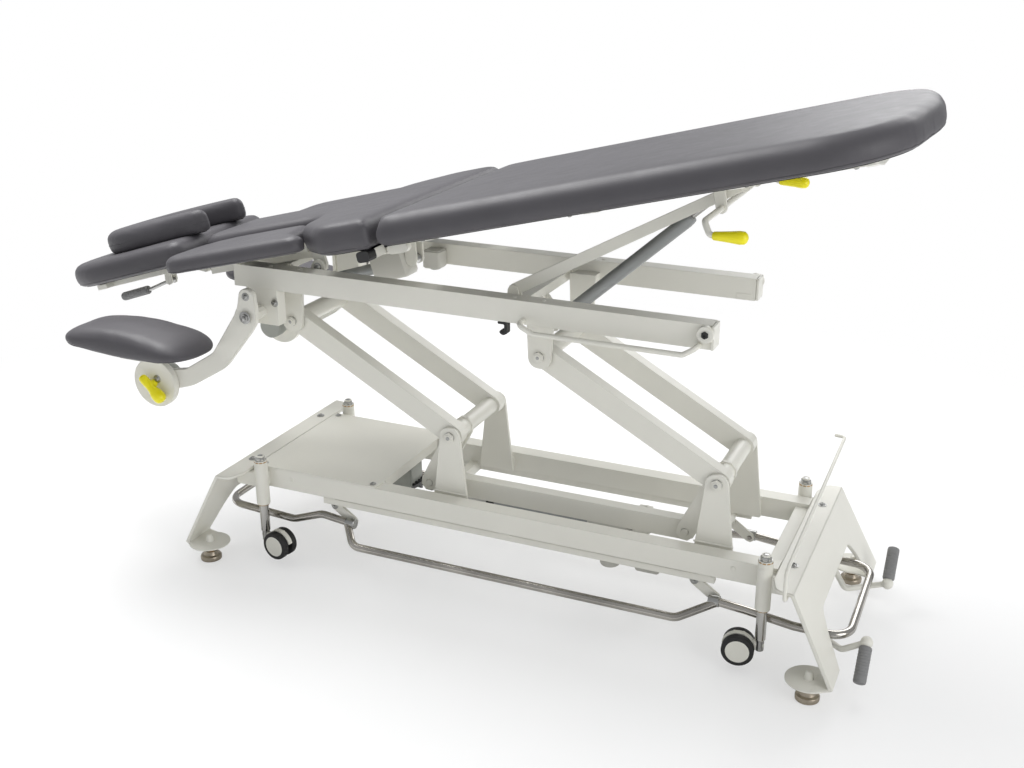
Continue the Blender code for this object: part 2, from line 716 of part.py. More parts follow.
def make_lift_arm(name, pivot):
    upper = pivot + ARM_REACH
    solids = [pin(pivot.x, pivot.z, -0.1183, 0.1183, CROSS_TUBE_R, 14),
              pin(upper.x, upper.z, -0.1183, 0.1183, CROSS_TUBE_R, 14)]
    for side in SIDES:
        y0, y1 = sorted((side * ARM_INNER_Y, side * (ARM_INNER_Y + ARM_WIDTH)))
        arm = prism(rounded_outline([(-0.025, -ARM_HEIGHT / 2), (ARM_LENGTH + 0.025, -ARM_HEIGHT / 2),
                                     (ARM_LENGTH + 0.025, ARM_HEIGHT / 2), (-0.025, ARM_HEIGHT / 2)],
                                    0.022, 3), "y", y0, y1)
        arm.data.transform(Matrix.Translation(pivot) @ Matrix.Rotation(pi + ARM_ANGLE, 4, "Y"))
        solids.append(arm)
        for centre in (pivot, upper):
            solids.append(pin(centre.x, centre.z, *sorted((side * 0.108, side * 0.1355)), PIN_R))
            solids.append(pin(centre.x, centre.z, *sorted((side * 0.1285, side * 0.1340)), 0.0125, 6))
    crank = (pivot.x + CRANK.x, pivot.z + CRANK.z)
    for edge in SIDES:
        inner = TIE_BAR_Y + edge * (TIE_BAR_WIDTH / 2 + SEAT)
        outer = inner + edge * PLATE
        solids.append(link((pivot.x, pivot.z), crank, 0.024, CRANK_R, *sorted((inner, outer))))
    cuts = [pin(crank[0], crank[1], TIE_BAR_Y - 0.035, TIE_BAR_Y + 0.035, PIN_R + PIN_PLAY)]
    piece(name, fuse(solids, cuts), "coat", pivot)


def make_tie_bar():
    start = (HEAD_PIVOT.x + CRANK.x, HEAD_PIVOT.z + CRANK.z)
    end = (FOOT_PIVOT.x + CRANK.x, FOOT_PIVOT.z + CRANK.z)
    half = TIE_BAR_WIDTH / 2
    height = TIE_BAR_HEIGHT / 2
    solids = [link(start, end, height, height, TIE_BAR_Y - half, TIE_BAR_Y + half)]
    for centre in (start, end):
        solids.append(pin(centre[0], centre[1], TIE_BAR_Y - half - 0.011, TIE_BAR_Y + half + 0.0088, PIN_R))
    reach = 0.0085
    solids.append(box(LIFT_EYE_X - 0.012, LIFT_EYE_X + 0.018, TIE_BAR_Y + half - 0.004, LIFT_Y + reach + 0.008,
                      LIFT_Z + 0.028, LIFT_Z + 0.052))
    for edge in SIDES:
        y = LIFT_Y + edge * reach
        solids.append(link((LIFT_EYE_X, LIFT_Z), (LIFT_EYE_X + 0.004, LIFT_Z + 0.040), 0.020, 0.014,
                           *sorted((y, y + edge * 0.007))))
    piece("tie_bar", fuse(solids), "coat", (start[0], TIE_BAR_Y, start[1]))


def make_lift_actuator():
    y = LIFT_Y
    rod = fuse([bar((LIFT_FORK_X + 0.024, y, LIFT_Z), (-0.030, y, LIFT_Z), LIFT_ROD_R),
                bar((LIFT_FORK_X, y, LIFT_Z), (LIFT_FORK_X + 0.030, y, LIFT_Z), 0.0072),
                pin(LIFT_FORK_X, LIFT_Z, y - 0.0078, y + 0.0078, 0.012)],
               [pin(LIFT_FORK_X, LIFT_Z, y - 0.02, y + 0.02, 0.0066)])
    piece("lift_rod", rod, "chrome", (LIFT_FORK_X, y, LIFT_Z))
    housing = rounded_outline([(y - 0.026, LIFT_Z - 0.026), (y + 0.026, LIFT_Z - 0.026),
                               (y + 0.026, LIFT_Z + 0.022), (y - 0.026, LIFT_Z + 0.022)], 0.008)
    case = rounded_outline([(0.118, 0.088), (0.176, 0.088), (0.176, 0.150), (0.118, 0.150)], 0.008)
    solids = [bar((-0.255, y, LIFT_Z), (0.010, y, LIFT_Z), LIFT_TUBE_R),
              prism(housing, "x", 0.0, 0.098),
              turned([(0.019, 0.076), (0.0235, 0.081), (0.0235, LIFT_Z)], (0.050, y, 0.0), sides=14),
              prism(case, "y", y - 0.030, y + 0.024),
              box(0.060, 0.122, y - 0.008, y + 0.008, 0.110, 0.135),
              bar((0.090, y, LIFT_Z), (LIFT_EYE_X, y, LIFT_Z), 0.0075, 14),
              pin(LIFT_EYE_X, LIFT_Z, y - 0.0075, y + 0.0075, 0.013)]
    motor = fuse(solids, [bar((-0.26, y, LIFT_Z), (0.045, y, LIFT_Z), LIFT_ROD_R + 0.0006)])
    piece("lift_motor", motor, "motor", (LIFT_EYE_X, y, LIFT_Z))


# Upper frame

def make_upper_frame():
    top = UPPER_LOW + UPPER_HEIGHT
    inner = UPPER_Y - UPPER_WIDTH / 2
    outer = UPPER_Y + UPPER_WIDTH / 2
    solids = []
    cuts = []
    for x in (UPPER_HEAD_X + 0.022, UPPER_FOOT_X - 0.026):
        solids.append(box(x - 0.016, x + 0.016, -inner - 0.003, inner + 0.003, UPPER_LOW, UPPER_LOW + 0.014))
    solids.append(box(STAY_LOW_X - 0.018, STAY_LOW_X + 0.018, -inner - 0.003, inner + 0.003,
                      UPPER_LOW + 0.002, UPPER_LOW + 0.024))
    for side in SIDES:
        y0, y1 = sorted((side * inner, side * outer))
        solids.append(box(UPPER_HEAD_X, UPPER_FOOT_X, y0, y1, UPPER_LOW, top))
        for pivot in (HEAD_UPPER, FOOT_UPPER):
            outline = [(pivot.x - 0.024, pivot.z - 0.026), (pivot.x + 0.026, pivot.z - 0.026),
                       (pivot.x + 0.034, UPPER_LOW + 0.026), (pivot.x - 0.030, UPPER_LOW + 0.026)]
            y0, y1 = sorted((side * (BRACKET_Y - PLATE / 2), side * (BRACKET_Y + PLATE / 2)))
            solids.append(prism(rounded_outline(outline, [0.022, 0.022, 0.004, 0.004], 4), "y", y0, y1))
            y0, y1 = sorted((side * (BRACKET_Y + 0.001), side * (inner + 0.003)))
            solids.append(box(pivot.x - 0.026, pivot.x + 0.030, y0, y1, UPPER_LOW + 0.004, UPPER_LOW + 0.024))
            cuts.append(pin(pivot.x, pivot.z, side * 0.100, side * 0.140, PIN_R + PIN_PLAY))
        channel = [(ARMREST_BOLT_X - 0.034, outer - 0.004), (ARMREST_BOLT_X + 0.046, outer - 0.004),
                   (ARMREST_BOLT_X + 0.046, inner + 0.004), (ARMREST_BOLT_X + 0.038, inner + 0.004),
                   (ARMREST_BOLT_X + 0.038, outer - 0.012), (ARMREST_BOLT_X - 0.026, outer - 0.012),
                   (ARMREST_BOLT_X - 0.026, inner + 0.004), (ARMREST_BOLT_X - 0.034, inner + 0.004)]
        solids.append(prism([(x, side * y) for x, y in channel], "z", UPPER_LOW - 0.084, UPPER_LOW + 0.004))
        plate_face = side * (ARMREST_Y - ARMREST_PLATE / 2 - SEAT)
        solids.append(pin(ARMREST_BOLT_X, ARMREST_BOLT_Z, side * (outer - 0.010), plate_face, 0.016))
        solids.append(pin(ARMREST_BOLT_X, ARMREST_BOLT_Z, side * 0.190, side * (ARMREST_Y + 0.012), PIN_R))
        y0, y1 = sorted((side * THORAX_PLATE_Y, side * (THORAX_PLATE_Y + PLATE)))
        solids.append(link((THORAX_PIVOT_X, THORAX_PIVOT_Z), (THORAX_PIVOT_X, UPPER_LOW + 0.020), 0.016, 0.024,
                           y0, y1))
        y0, y1 = sorted((side * (THORAX_PLATE_Y + 0.001), side * (inner + 0.003)))
        solids.append(box(THORAX_PIVOT_X - 0.020, THORAX_PIVOT_X + 0.020, y0, y1, UPPER_LOW + 0.004,
                          UPPER_LOW + 0.034))
        cuts.append(pin(THORAX_PIVOT_X, THORAX_PIVOT_Z, side * 0.135, side * 0.157, 0.007 + PIN_PLAY))
    for edge in SIDES:
        y = STAY_Y + edge * (STAY_THICKNESS / 2 + 0.001)
        solids.append(link((STAY_LOW_X, STAY_LOW_Z), (STAY_LOW_X, UPPER_LOW + 0.016), 0.012, 0.015,
                           *sorted((y, y + edge * 0.005))))
        y = edge * 0.0105
        solids.append(link((GAS_LOW_X, GAS_LOW_Z), (STAY_LOW_X + 0.002, UPPER_LOW + 0.014), 0.017, 0.010,
                           *sorted((y, y + edge * 0.006))))
    lug_x = HEAD_UPPER.x
    for edge in SIDES:
        y = PIVOT_MOTOR_Y + edge * 0.0105
        solids.append(link((PIVOT_ROD_X, PIVOT_ROD_Z), (lug_x - 0.064, UPPER_LOW + 0.007), 0.015, 0.010,
                           *sorted((y, y + edge * 0.006))))
    piece("upper_frame", fuse(solids, cuts), "coat", HEAD_UPPER)


def make_upper_trim():
    """Rail end bumpers, sheet rails and the junction box."""
    top = UPPER_LOW + UPPER_HEIGHT
    outer = UPPER_Y + UPPER_WIDTH / 2
    inner = UPPER_Y - UPPER_WIDTH / 2
    for name, side in (("near", -1.0), ("far", 1.0)):
        y0 = side * (outer + GAP)
        disc = pin(UPPER_FOOT_X - 0.010, top - 0.0175, y0, y0 + side * 0.012, 0.0175, 16)
        corners = [(inner, UPPER_LOW), (outer + 0.006, UPPER_LOW), (outer + 0.006, top), (inner, top)]
        shape = rounded_outline([(side * y, z) for y, z in corners], 0.004)
        cap = prism(shape, "x", UPPER_FOOT_X + GAP, UPPER_FOOT_X + 0.006)
        piece("rail_bumper_" + name, fuse([disc, cap]), "coat")
        y = side * (outer + GAP)
        out = side * (outer + SHEET_RAIL_R + 0.022)
        low = UPPER_LOW - 0.004
        path = [(-0.092, y, low + 0.012), (-0.092, out, low + 0.012), (-0.060, out, low - 0.004),
                (0.255, out, low - 0.004), (0.280, out, low + 0.012), (0.280, y, low + 0.012)]
        piece("sheet_rail_" + name, bent_bar(path, SHEET_RAIL_R, 0.012, 8, 3), "coat")
    x = -0.470
    shell = rounded_outline([(x - 0.022, inner - 0.044), (x + 0.022, inner - 0.044),
                             (x + 0.022, inner - GAP), (x - 0.022, inner - GAP)], 0.005)
    button = turned([(0.012, UPPER_LOW - 0.008), (0.012, UPPER_LOW - 0.002)], (x, inner - 0.022, 0.0), sides=14)
    case = prism(shell, "z", UPPER_LOW - 0.004, UPPER_LOW + 0.040)
    piece("junction_box", fuse([case, button]), "motor")


# Sloping top: frames

def make_thorax_frame():
    hinge = level(HINGE_X, HINGE_Z)
    pivot = level(THORAX_PIVOT_X, THORAX_PIVOT_Z)
    head = level(HEAD_HINGE_X, HEAD_HINGE_Z)
    motor = level(PIVOT_MOTOR_X, PIVOT_MOTOR_Z)
    half = TOP_RAIL_WIDTH / 2
    solids = []
    cuts = []
    for side in SIDES:
        y0, y1 = sorted((side * (THORAX_RAIL_Y - half), side * (THORAX_RAIL_Y + half)))
        solids.append(box(head[0] + 0.016, hinge[0] - 0.014, y0, y1, TUBE_LOW, TUBE_TOP))
        y0, y1 = sorted((side * (THORAX_RAIL_Y - 0.004), side * (THORAX_RAIL_Y + 0.004)))
        solids.append(link((head[0] + 0.030, TUBE_TOP - 0.010), head, 0.009, 0.0085, y0, y1))
        solids.append(pin(head[0], head[1], *sorted((side * (THORAX_RAIL_Y - 0.002),
                                                     side * (THORAX_RAIL_Y + 0.016))), 0.005, 14))
        y0, y1 = sorted((side * LUG_Y, side * (LUG_Y + PLATE)))
        solids.append(link(pivot, (pivot[0], TUBE_LOW + 0.010), 0.016, 0.014, y0, y1))
        solids.append(pin(pivot[0], pivot[1], *sorted((side * (LUG_Y + 0.002), side * 0.1535)), 0.007, 18))
        y0, y1 = sorted((side * 0.224, side * 0.240))
        solids.append(link((hinge[0] - 0.030, TUBE_LOW + 0.011), hinge, 0.011, 0.011, y0, y1))
        cuts.append(pin(hinge[0], hinge[1], side * 0.21, side * 0.25, 0.0058))
    for u, wide, reach in ((pivot[0], 0.018, LUG_Y + 0.006), (hinge[0] - 0.030, 0.014, 0.290),
                           (head[0] + 0.045, 0.012, 0.100)):
        solids.append(box(u - wide, u + wide, -reach, reach, TUBE_LOW + 0.004, TUBE_TOP - 0.001))
    for u in LEAF_STRIPS:
        for side in SIDES:
            y2, y3 = sorted((side * 0.128, side * 0.134))
            outline_low = LEAF_LOW - GAP - 0.004
            solids.append(box(u - 0.014, u + 0.014, *sorted((side * 0.128, side * 0.265)), outline_low,
                              LEAF_LOW - GAP))
            solids.append(box(u - 0.014, u + 0.014, y2, y3, TUBE_TOP - 0.008, LEAF_LOW - GAP))
            solids.append(box(u - 0.014, u + 0.014, *sorted((side * (THORAX_RAIL_Y + 0.010), side * 0.134)),
                              TUBE_TOP - 0.008, TUBE_TOP - 0.002))
    for edge in SIDES:
        y = PIVOT_MOTOR_Y + edge * 0.0125
        solids.append(link(motor, (motor[0] + 0.010, TUBE_LOW + 0.010), 0.014, 0.014,
                           *sorted((y, y + edge * 0.006))))
    solids.append(box(motor[0] - 0.010, motor[0] + 0.030, -0.100, 0.100, TUBE_LOW + 0.002, TUBE_TOP - 0.004))
    solids.append(pin(motor[0], motor[1], PIVOT_MOTOR_Y - 0.014, PIVOT_MOTOR_Y + 0.014, 0.0055, 14))
    frame = on_top(fuse(solids, cuts))
    piece("thorax_frame", frame, "coat", (THORAX_PIVOT_X, 0.0, THORAX_PIVOT_Z))


def make_hinge_covers():
    u = level(HINGE_X, HINGE_Z)[0]
    for name, side in (("near", -1.0), ("far", 1.0)):
        outline = rounded_outline([(u - 0.046, TUBE_LOW + 0.002), (u - 0.016, TUBE_LOW + 0.002),
                                   (u - 0.016, PAD_LOW - 0.001), (u - 0.046, PAD_LOW - 0.001)], 0.006)
        cover = prism(outline, "y", *sorted((side * (0.290 + GAP), side * 0.318)))
        piece("hinge_cover_" + name, on_top(cover), "black", (HINGE_X, 0.0, HINGE_Z))


def make_pivot_actuator():
    start = Vector((PIVOT_MOTOR_X, PIVOT_MOTOR_Y, PIVOT_MOTOR_Z))
    end = Vector((PIVOT_ROD_X, PIVOT_MOTOR_Y, PIVOT_ROD_Z))
    way = (end - start).normalized()
    normal = Vector((-way.z, 0.0, way.x))
    side = Vector((0.0, 1.0, 0.0))
    rings = []
    for along, half, high in ((0.016, 0.016, 0.014), (0.022, 0.024, 0.022), (0.098, 0.024, 0.022),
                              (0.104, 0.018, 0.017)):
        centre = start + way * along
        rings.append([centre + side * a * half + normal * b * high
                      for a, b in ((-1, -1), (1, -1), (1, 1), (-1, 1))])
    solids = [loft(rings), bar(start, start + way * 0.03, 0.0085, 14),
              pin(start.x, start.z, start.y - 0.0115, start.y + 0.0115, 0.011),
              bar(start + way * 0.095, start + way * PIVOT_TUBE, 0.013)]
    drum = start + way * 0.060
    solids.append(bar(drum, drum + side * 0.060, 0.020, 14))
    cuts = [pin(start.x, start.z, start.y - 0.03, start.y + 0.03, 0.0062, 14),
            bar(start + way * 0.080, start + way * (PIVOT_TUBE + 0.01), 0.0087)]
    piece("pivot_motor", fuse(solids, cuts), "motor", start)
    rod = fuse([bar(start + way * 0.150, end, 0.008), pin(end.x, end.z, end.y - 0.009, end.y + 0.009, 0.0115)])
    piece("pivot_rod", rod, "chrome", end)


def make_leg_frame():
    hinge = level(HINGE_X, HINGE_Z)
    stay = level(STAY_HIGH_X, STAY_HIGH_Z)
    gas = level(GAS_HIGH_X, GAS_HIGH_Z)
    handle = level(HANDLE_X, HANDLE_Z)
    half = TOP_RAIL_WIDTH / 2
    end = LEG_FRAME_END
    start = hinge[0] + 0.018
    solids = []
    for side in SIDES:
        y0, y1 = sorted((side * (LEG_RAIL_Y - half), side * (LEG_RAIL_Y + half)))
        solids.append(box(start, end, y0, y1, TUBE_LOW, TUBE_TOP))
        y0, y1 = sorted((side * 0.2405, side * 0.2565))
        solids.append(link((start + 0.010, TUBE_LOW + 0.011), hinge, 0.011, 0.011, y0, y1))
        solids.append(pin(hinge[0], hinge[1], *sorted((side * 0.218, side * 0.252)), 0.005, 14))
    for u, wide in ((start + 0.016, 0.015), (0.420, 0.015), (stay[0] - 0.004, 0.016), (end - 0.015, 0.015)):
        solids.append(box(u - wide, u + wide, -LEG_RAIL_Y, LEG_RAIL_Y, TUBE_LOW + 0.003, TUBE_TOP - 0.001))
    for side in SIDES:
        y0, y1 = sorted((side * 0.060, side * 0.080))
        solids.append(box(0.420, stay[0], y0, y1, TUBE_LOW + 0.005, TUBE_TOP - 0.003))
    for edge in SIDES:
        y = STAY_Y + edge * (STAY_THICKNESS / 2 + 0.0008)
        solids.append(link(stay, (stay[0], TUBE_TOP - 0.012), 0.013, 0.009, *sorted((y, y + edge * 0.005))))
        y = edge * 0.0095
        solids.append(link(gas, (gas[0] + 0.002, TUBE_TOP - 0.012), 0.012, 0.008, *sorted((y, y + edge * 0.005))))
    solids.append(pin(gas[0], gas[1], -0.012, 0.012, 0.004, 14))
    solids.append(box(gas[0] - 0.014, gas[0] + 0.014, -0.075, 0.075, TUBE_LOW + 0.012, TUBE_TOP - 0.002))
    cuts = []
    for side in SIDES:
        y0, y1 = sorted((side * (RELEASE_LUG_Y - 0.004), side * (RELEASE_LUG_Y + 0.004)))
        solids.append(link(handle, (handle[0] + 0.002, TUBE_LOW + 0.010), 0.011, 0.012, y0, y1))
        solids.append(box(handle[0] - 0.012, handle[0] + 0.060, *sorted((side * (RELEASE_LUG_Y - 0.009), side * (RELEASE_LUG_Y + 0.009))),
                          TUBE_LOW + 0.004, TUBE_TOP - 0.002))
        cuts.append(pin(handle[0], handle[1], side * (RELEASE_LUG_Y - 0.02), side * (RELEASE_LUG_Y + 0.02),
                        HANDLE_R + 0.0006))
    cuts.append(box(stay[0] - 0.040, stay[0] + 0.013, STAY_Y - STAY_THICKNESS / 2 - 0.0006,
                    STAY_Y + STAY_THICKNESS / 2 + 0.0006, TUBE_LOW - 0.02, -0.0095))
    frame = fuse([fuse(solids, cuts), pin(stay[0], stay[1], STAY_Y - 0.008, STAY_Y + 0.008, 0.005, 14)])
    piece("leg_frame", on_top(frame), "coat", (HINGE_X, 0.0, HINGE_Z))


def make_leg_supports():
    low, high = Vector((STAY_LOW_X, 0.0, STAY_LOW_Z)), Vector((STAY_HIGH_X, 0.0, STAY_HIGH_Z))
    half = STAY_THICKNESS / 2
    stay = fuse([link((low.x, low.z), (high.x, high.z), STAY_DEPTH / 2, 0.0105, STAY_Y - half, STAY_Y + half)],
                [pin(high.x, high.z, STAY_Y - 0.02, STAY_Y + 0.02, 0.0056, 14)])
    piece("leg_stay", stay, "steel", (high.x, STAY_Y, high.z))
    low, high = Vector((GAS_LOW_X, 0.0, GAS_LOW_Z)), Vector((GAS_HIGH_X, 0.0, GAS_HIGH_Z))
    way = (high - low).normalized()
    mouth = low + way * GAS_CYLINDER_LENGTH
    cylinder = fuse([bar(low + way * 0.022, mouth, GAS_CYLINDER_R, 16), bar(low, low + way * 0.03, 0.007, 14),
                     pin(low.x, low.z, -0.009, 0.009, 0.012)],
                    [bar(low + way * 0.12, mouth + way * 0.01, GAS_ROD_R + 0.0006, 14)])
    piece("gas_cylinder", cylinder, "steel", low)
    rod = fuse([bar(mouth - way * 0.160, high, GAS_ROD_R, 14), pin(high.x, high.z, -0.0085, 0.0085, 0.010)],
               [pin(high.x, high.z, -0.02, 0.02, 0.0046, 14)])
    piece("gas_rod", rod, "chrome", high)


def make_release_handle():
    y = 0.272
    grip_end = Vector((0.374, 0.0, 0.930))
    path = [(grip_end.x, -y, grip_end.z), (HANDLE_X + 0.014, -y, HANDLE_Z - 0.022), (HANDLE_X, -y + 0.012, HANDLE_Z),
            (HANDLE_X, y - 0.012, HANDLE_Z), (HANDLE_X + 0.014, y, HANDLE_Z - 0.022), (grip_end.x, y, grip_end.z)]
    solids = [bent_bar(path, HANDLE_R, 0.012, 8, 3)]
    for side in SIDES:
        start = Vector((HANDLE_X + 0.020, side * y, HANDLE_Z - 0.0225))
        end = Vector((grip_end.x, side * y, grip_end.z))
        way = (end - start).normalized()
        solids.append(bar(start, end + way * 0.006, 0.0115, 12))
    piece("release_handle", fuse(solids), "yellow", (HANDLE_X, 0.0, HANDLE_Z))


def on_head(item):
    return on_top(item, HEAD_SLOPE, HEAD_ORIGIN)


def make_head_frame():
    """The head section is drawn level with its hinge at (0, 0), running toward -X."""
    solids = []
    cuts = []
    for side in SIDES:
        y0, y1 = sorted((side * (THORAX_RAIL_Y + 0.0055), side * (THORAX_RAIL_Y + 0.0125)))
        solids.append(link((0.0, 0.0), (-0.040, HEAD_STRIP_TOP - 0.009), 0.010, 0.0085, y0, y1))
        y0, y1 = sorted((side * (THORAX_RAIL_Y + 0.0055), side * (THORAX_RAIL_Y + 0.0355)))
        solids.append(box(-0.300, -0.030, y0, y1, HEAD_STRIP_TOP - 0.014, HEAD_STRIP_TOP))
        cuts.append(pin(0.0, 0.0, side * (THORAX_RAIL_Y), side * (THORAX_RAIL_Y + 0.02), 0.0056, 14))
    reach = THORAX_RAIL_Y + 0.030
    solids.append(box(-0.300, -0.270, -0.150, 0.150, HEAD_STRIP_TOP - 0.013, HEAD_STRIP_TOP - 0.001))
    solids.append(box(-0.120, -0.090, -reach, reach, HEAD_STRIP_TOP - 0.013, HEAD_STRIP_TOP - 0.001))
    for edge in SIDES:
        y = HEAD_LEVER_Y + edge * 0.0065
        solids.append(link((HEAD_LEVER_X, HEAD_LEVER_Z), (HEAD_LEVER_X + 0.004, HEAD_STRIP_TOP - 0.010), 0.010,
                           0.009, *sorted((y, y + edge * 0.004))))
    solids.append(pin(HEAD_LEVER_X, HEAD_LEVER_Z, HEAD_LEVER_Y - 0.008, HEAD_LEVER_Y + 0.008, 0.004, 12))
    piece("head_frame", on_head(fuse(solids, cuts)), "coat", (HEAD_HINGE_X, 0.0, HEAD_HINGE_Z))


def make_head_lever():
    x, y, z = HEAD_LEVER_X, HEAD_LEVER_Y, HEAD_LEVER_Z
    path = [(x, y, z), (x - 0.030, y, z - 0.004), (x - 0.070, y, z - 0.010), (x - 0.125, y, z - 0.012)]
    lever = fuse([bent_bar(path, 0.0045, 0.03, 8, 3), pin(x, z, y - 0.0058, y + 0.0058, 0.0085)],
                 [pin(x, z, y - 0.02, y + 0.02, 0.0046, 12)])
    grip_start = Vector((x - 0.078, y, z - 0.0101))
    grip = bar(grip_start, (x - 0.165, y, z - 0.0130), 0.0105, 12)
    lever = fuse([lever, grip])
    piece("head_lever", on_head(lever), "black", head_place(x, y, z))


def head_place(x, y, z):
    turn = Matrix.Rotation(-HEAD_SLOPE, 4, "Y")
    return Matrix.Translation((HEAD_HINGE_X, 0.0, HEAD_HINGE_Z)) @ turn @ Vector((x, y, z))


# Pads

def pad(outline, low, high, edge=PAD_EDGE):
    """A cushion drawn level: its outline, with an eased top edge."""
    rings = []
    centre = Vector((sum(x for x, _ in outline), sum(y for _, y in outline))) / len(outline)
    steps = ((low, 0.0), (high - edge, 0.0), (high - edge * 0.3, edge * 0.3), (high, edge))
    for z, inset in steps:
        ring = []
        for x, y in outline:
            offset = Vector((x, y)) - centre
            scale = 1.0 - inset / max(offset.length, 0.05)
            ring.append((centre.x + offset.x * scale, centre.y + offset.y * scale, z))
        rings.append(ring)
    return loft(rings)


def make_pads():
    seam = level(HINGE_X, HINGE_Z)[0] + 0.004
    tip = (LEG_TIP_X - TOP_ORIGIN_X) / cos(TILT)
    wide = PAD_HALF_WIDTH
    outline = rounded_outline([(seam + SECTION_GAP / 2, -wide), (tip, -wide), (tip, wide),
                               (seam + SECTION_GAP / 2, wide)], [0.006, 0.150, 0.150, 0.006], 8)
    piece("leg_pad", on_top(pad(outline, PAD_LOW, PAD_THICKNESS)), "vinyl", (HINGE_X, 0.0, HINGE_Z))
    neck_end = level(HEAD_HINGE_X, HEAD_HINGE_Z)[0] + SECTION_GAP
    half = [(seam - SECTION_GAP / 2, wide), (-0.140, wide), (-0.225, 0.235), (-0.252, NECK_HALF),
            (neck_end, NECK_HALF)]
    radii = [0.006, 0.075, 0.05, 0.040, 0.030]
    outline = rounded_outline(half + [(x, -y) for x, y in reversed(half)], radii + radii[::-1], 6)
    piece("thorax_pad", on_top(pad(outline, PAD_LOW, NECK_THICKNESS)), "vinyl", (THORAX_PIVOT_X, 0.0, THORAX_PIVOT_Z))
    for name, side in (("near", -1.0), ("far", 1.0)):
        corners = [(-0.1485, wide), (LEAF_END, wide), (LEAF_END, NECK_HALF + 0.008), (-0.262, NECK_HALF + 0.008),
                   (-0.2405, 0.236)]
        outline = rounded_outline([(x, side * y) for x, y in corners], [0.030, 0.075, 0.030, 0.022, 0.05], 6)
        leaf = pad(outline, LEAF_LOW, LEAF_LOW + LEAF_THICKNESS, 0.007)
        piece("leaf_pad_" + name, on_top(leaf), "vinyl", (THORAX_PIVOT_X, 0.0, THORAX_PIVOT_Z))
    edge = HEAD_PAD_LOW + PAD_THICKNESS - PAD_EDGE
    end = (HEAD_TIP_X - HEAD_HINGE_X + edge * sin(HEAD_SLOPE)) / cos(HEAD_SLOPE)
    outline = rounded_outline([(0.0, -0.180), (0.0, 0.180), (end, 0.180), (end, -0.180)],
                              [0.030, 0.030, 0.150, 0.150], 8)
    head_pad = pad(outline, HEAD_PAD_LOW, HEAD_PAD_LOW + PAD_THICKNESS)
    piece("head_pad", on_head(head_pad), "vinyl", (HEAD_HINGE_X, 0.0, HEAD_HINGE_Z))
    inner, outer = 0.052, 0.138
    points = []
    for step in range(13):
        angle = pi / 2 + pi * step / 12
        points.append((CUSHION_X + outer * cos(angle), outer * sin(angle)))
    points.append((CUSHION_X + CUSHION_ARM, -outer + 0.030))
    points.append((CUSHION_X + CUSHION_ARM, -inner - 0.018))
    for step in range(13):
        angle = -pi / 2 - pi * step / 12
        points.append((CUSHION_X + inner * cos(angle), inner * sin(angle)))
    points.append((CUSHION_X + CUSHION_ARM, inner + 0.018))
    points.append((CUSHION_X + CUSHION_ARM, outer - 0.030))
    low = HEAD_PAD_LOW + PAD_THICKNESS + GAP
    cushion = prism(points, "z", low, low + CUSHION_HEIGHT)
    piece("face_cushion", on_head(cushion), "vinyl", (HEAD_HINGE_X, 0.0, HEAD_HINGE_Z))


# Armrests

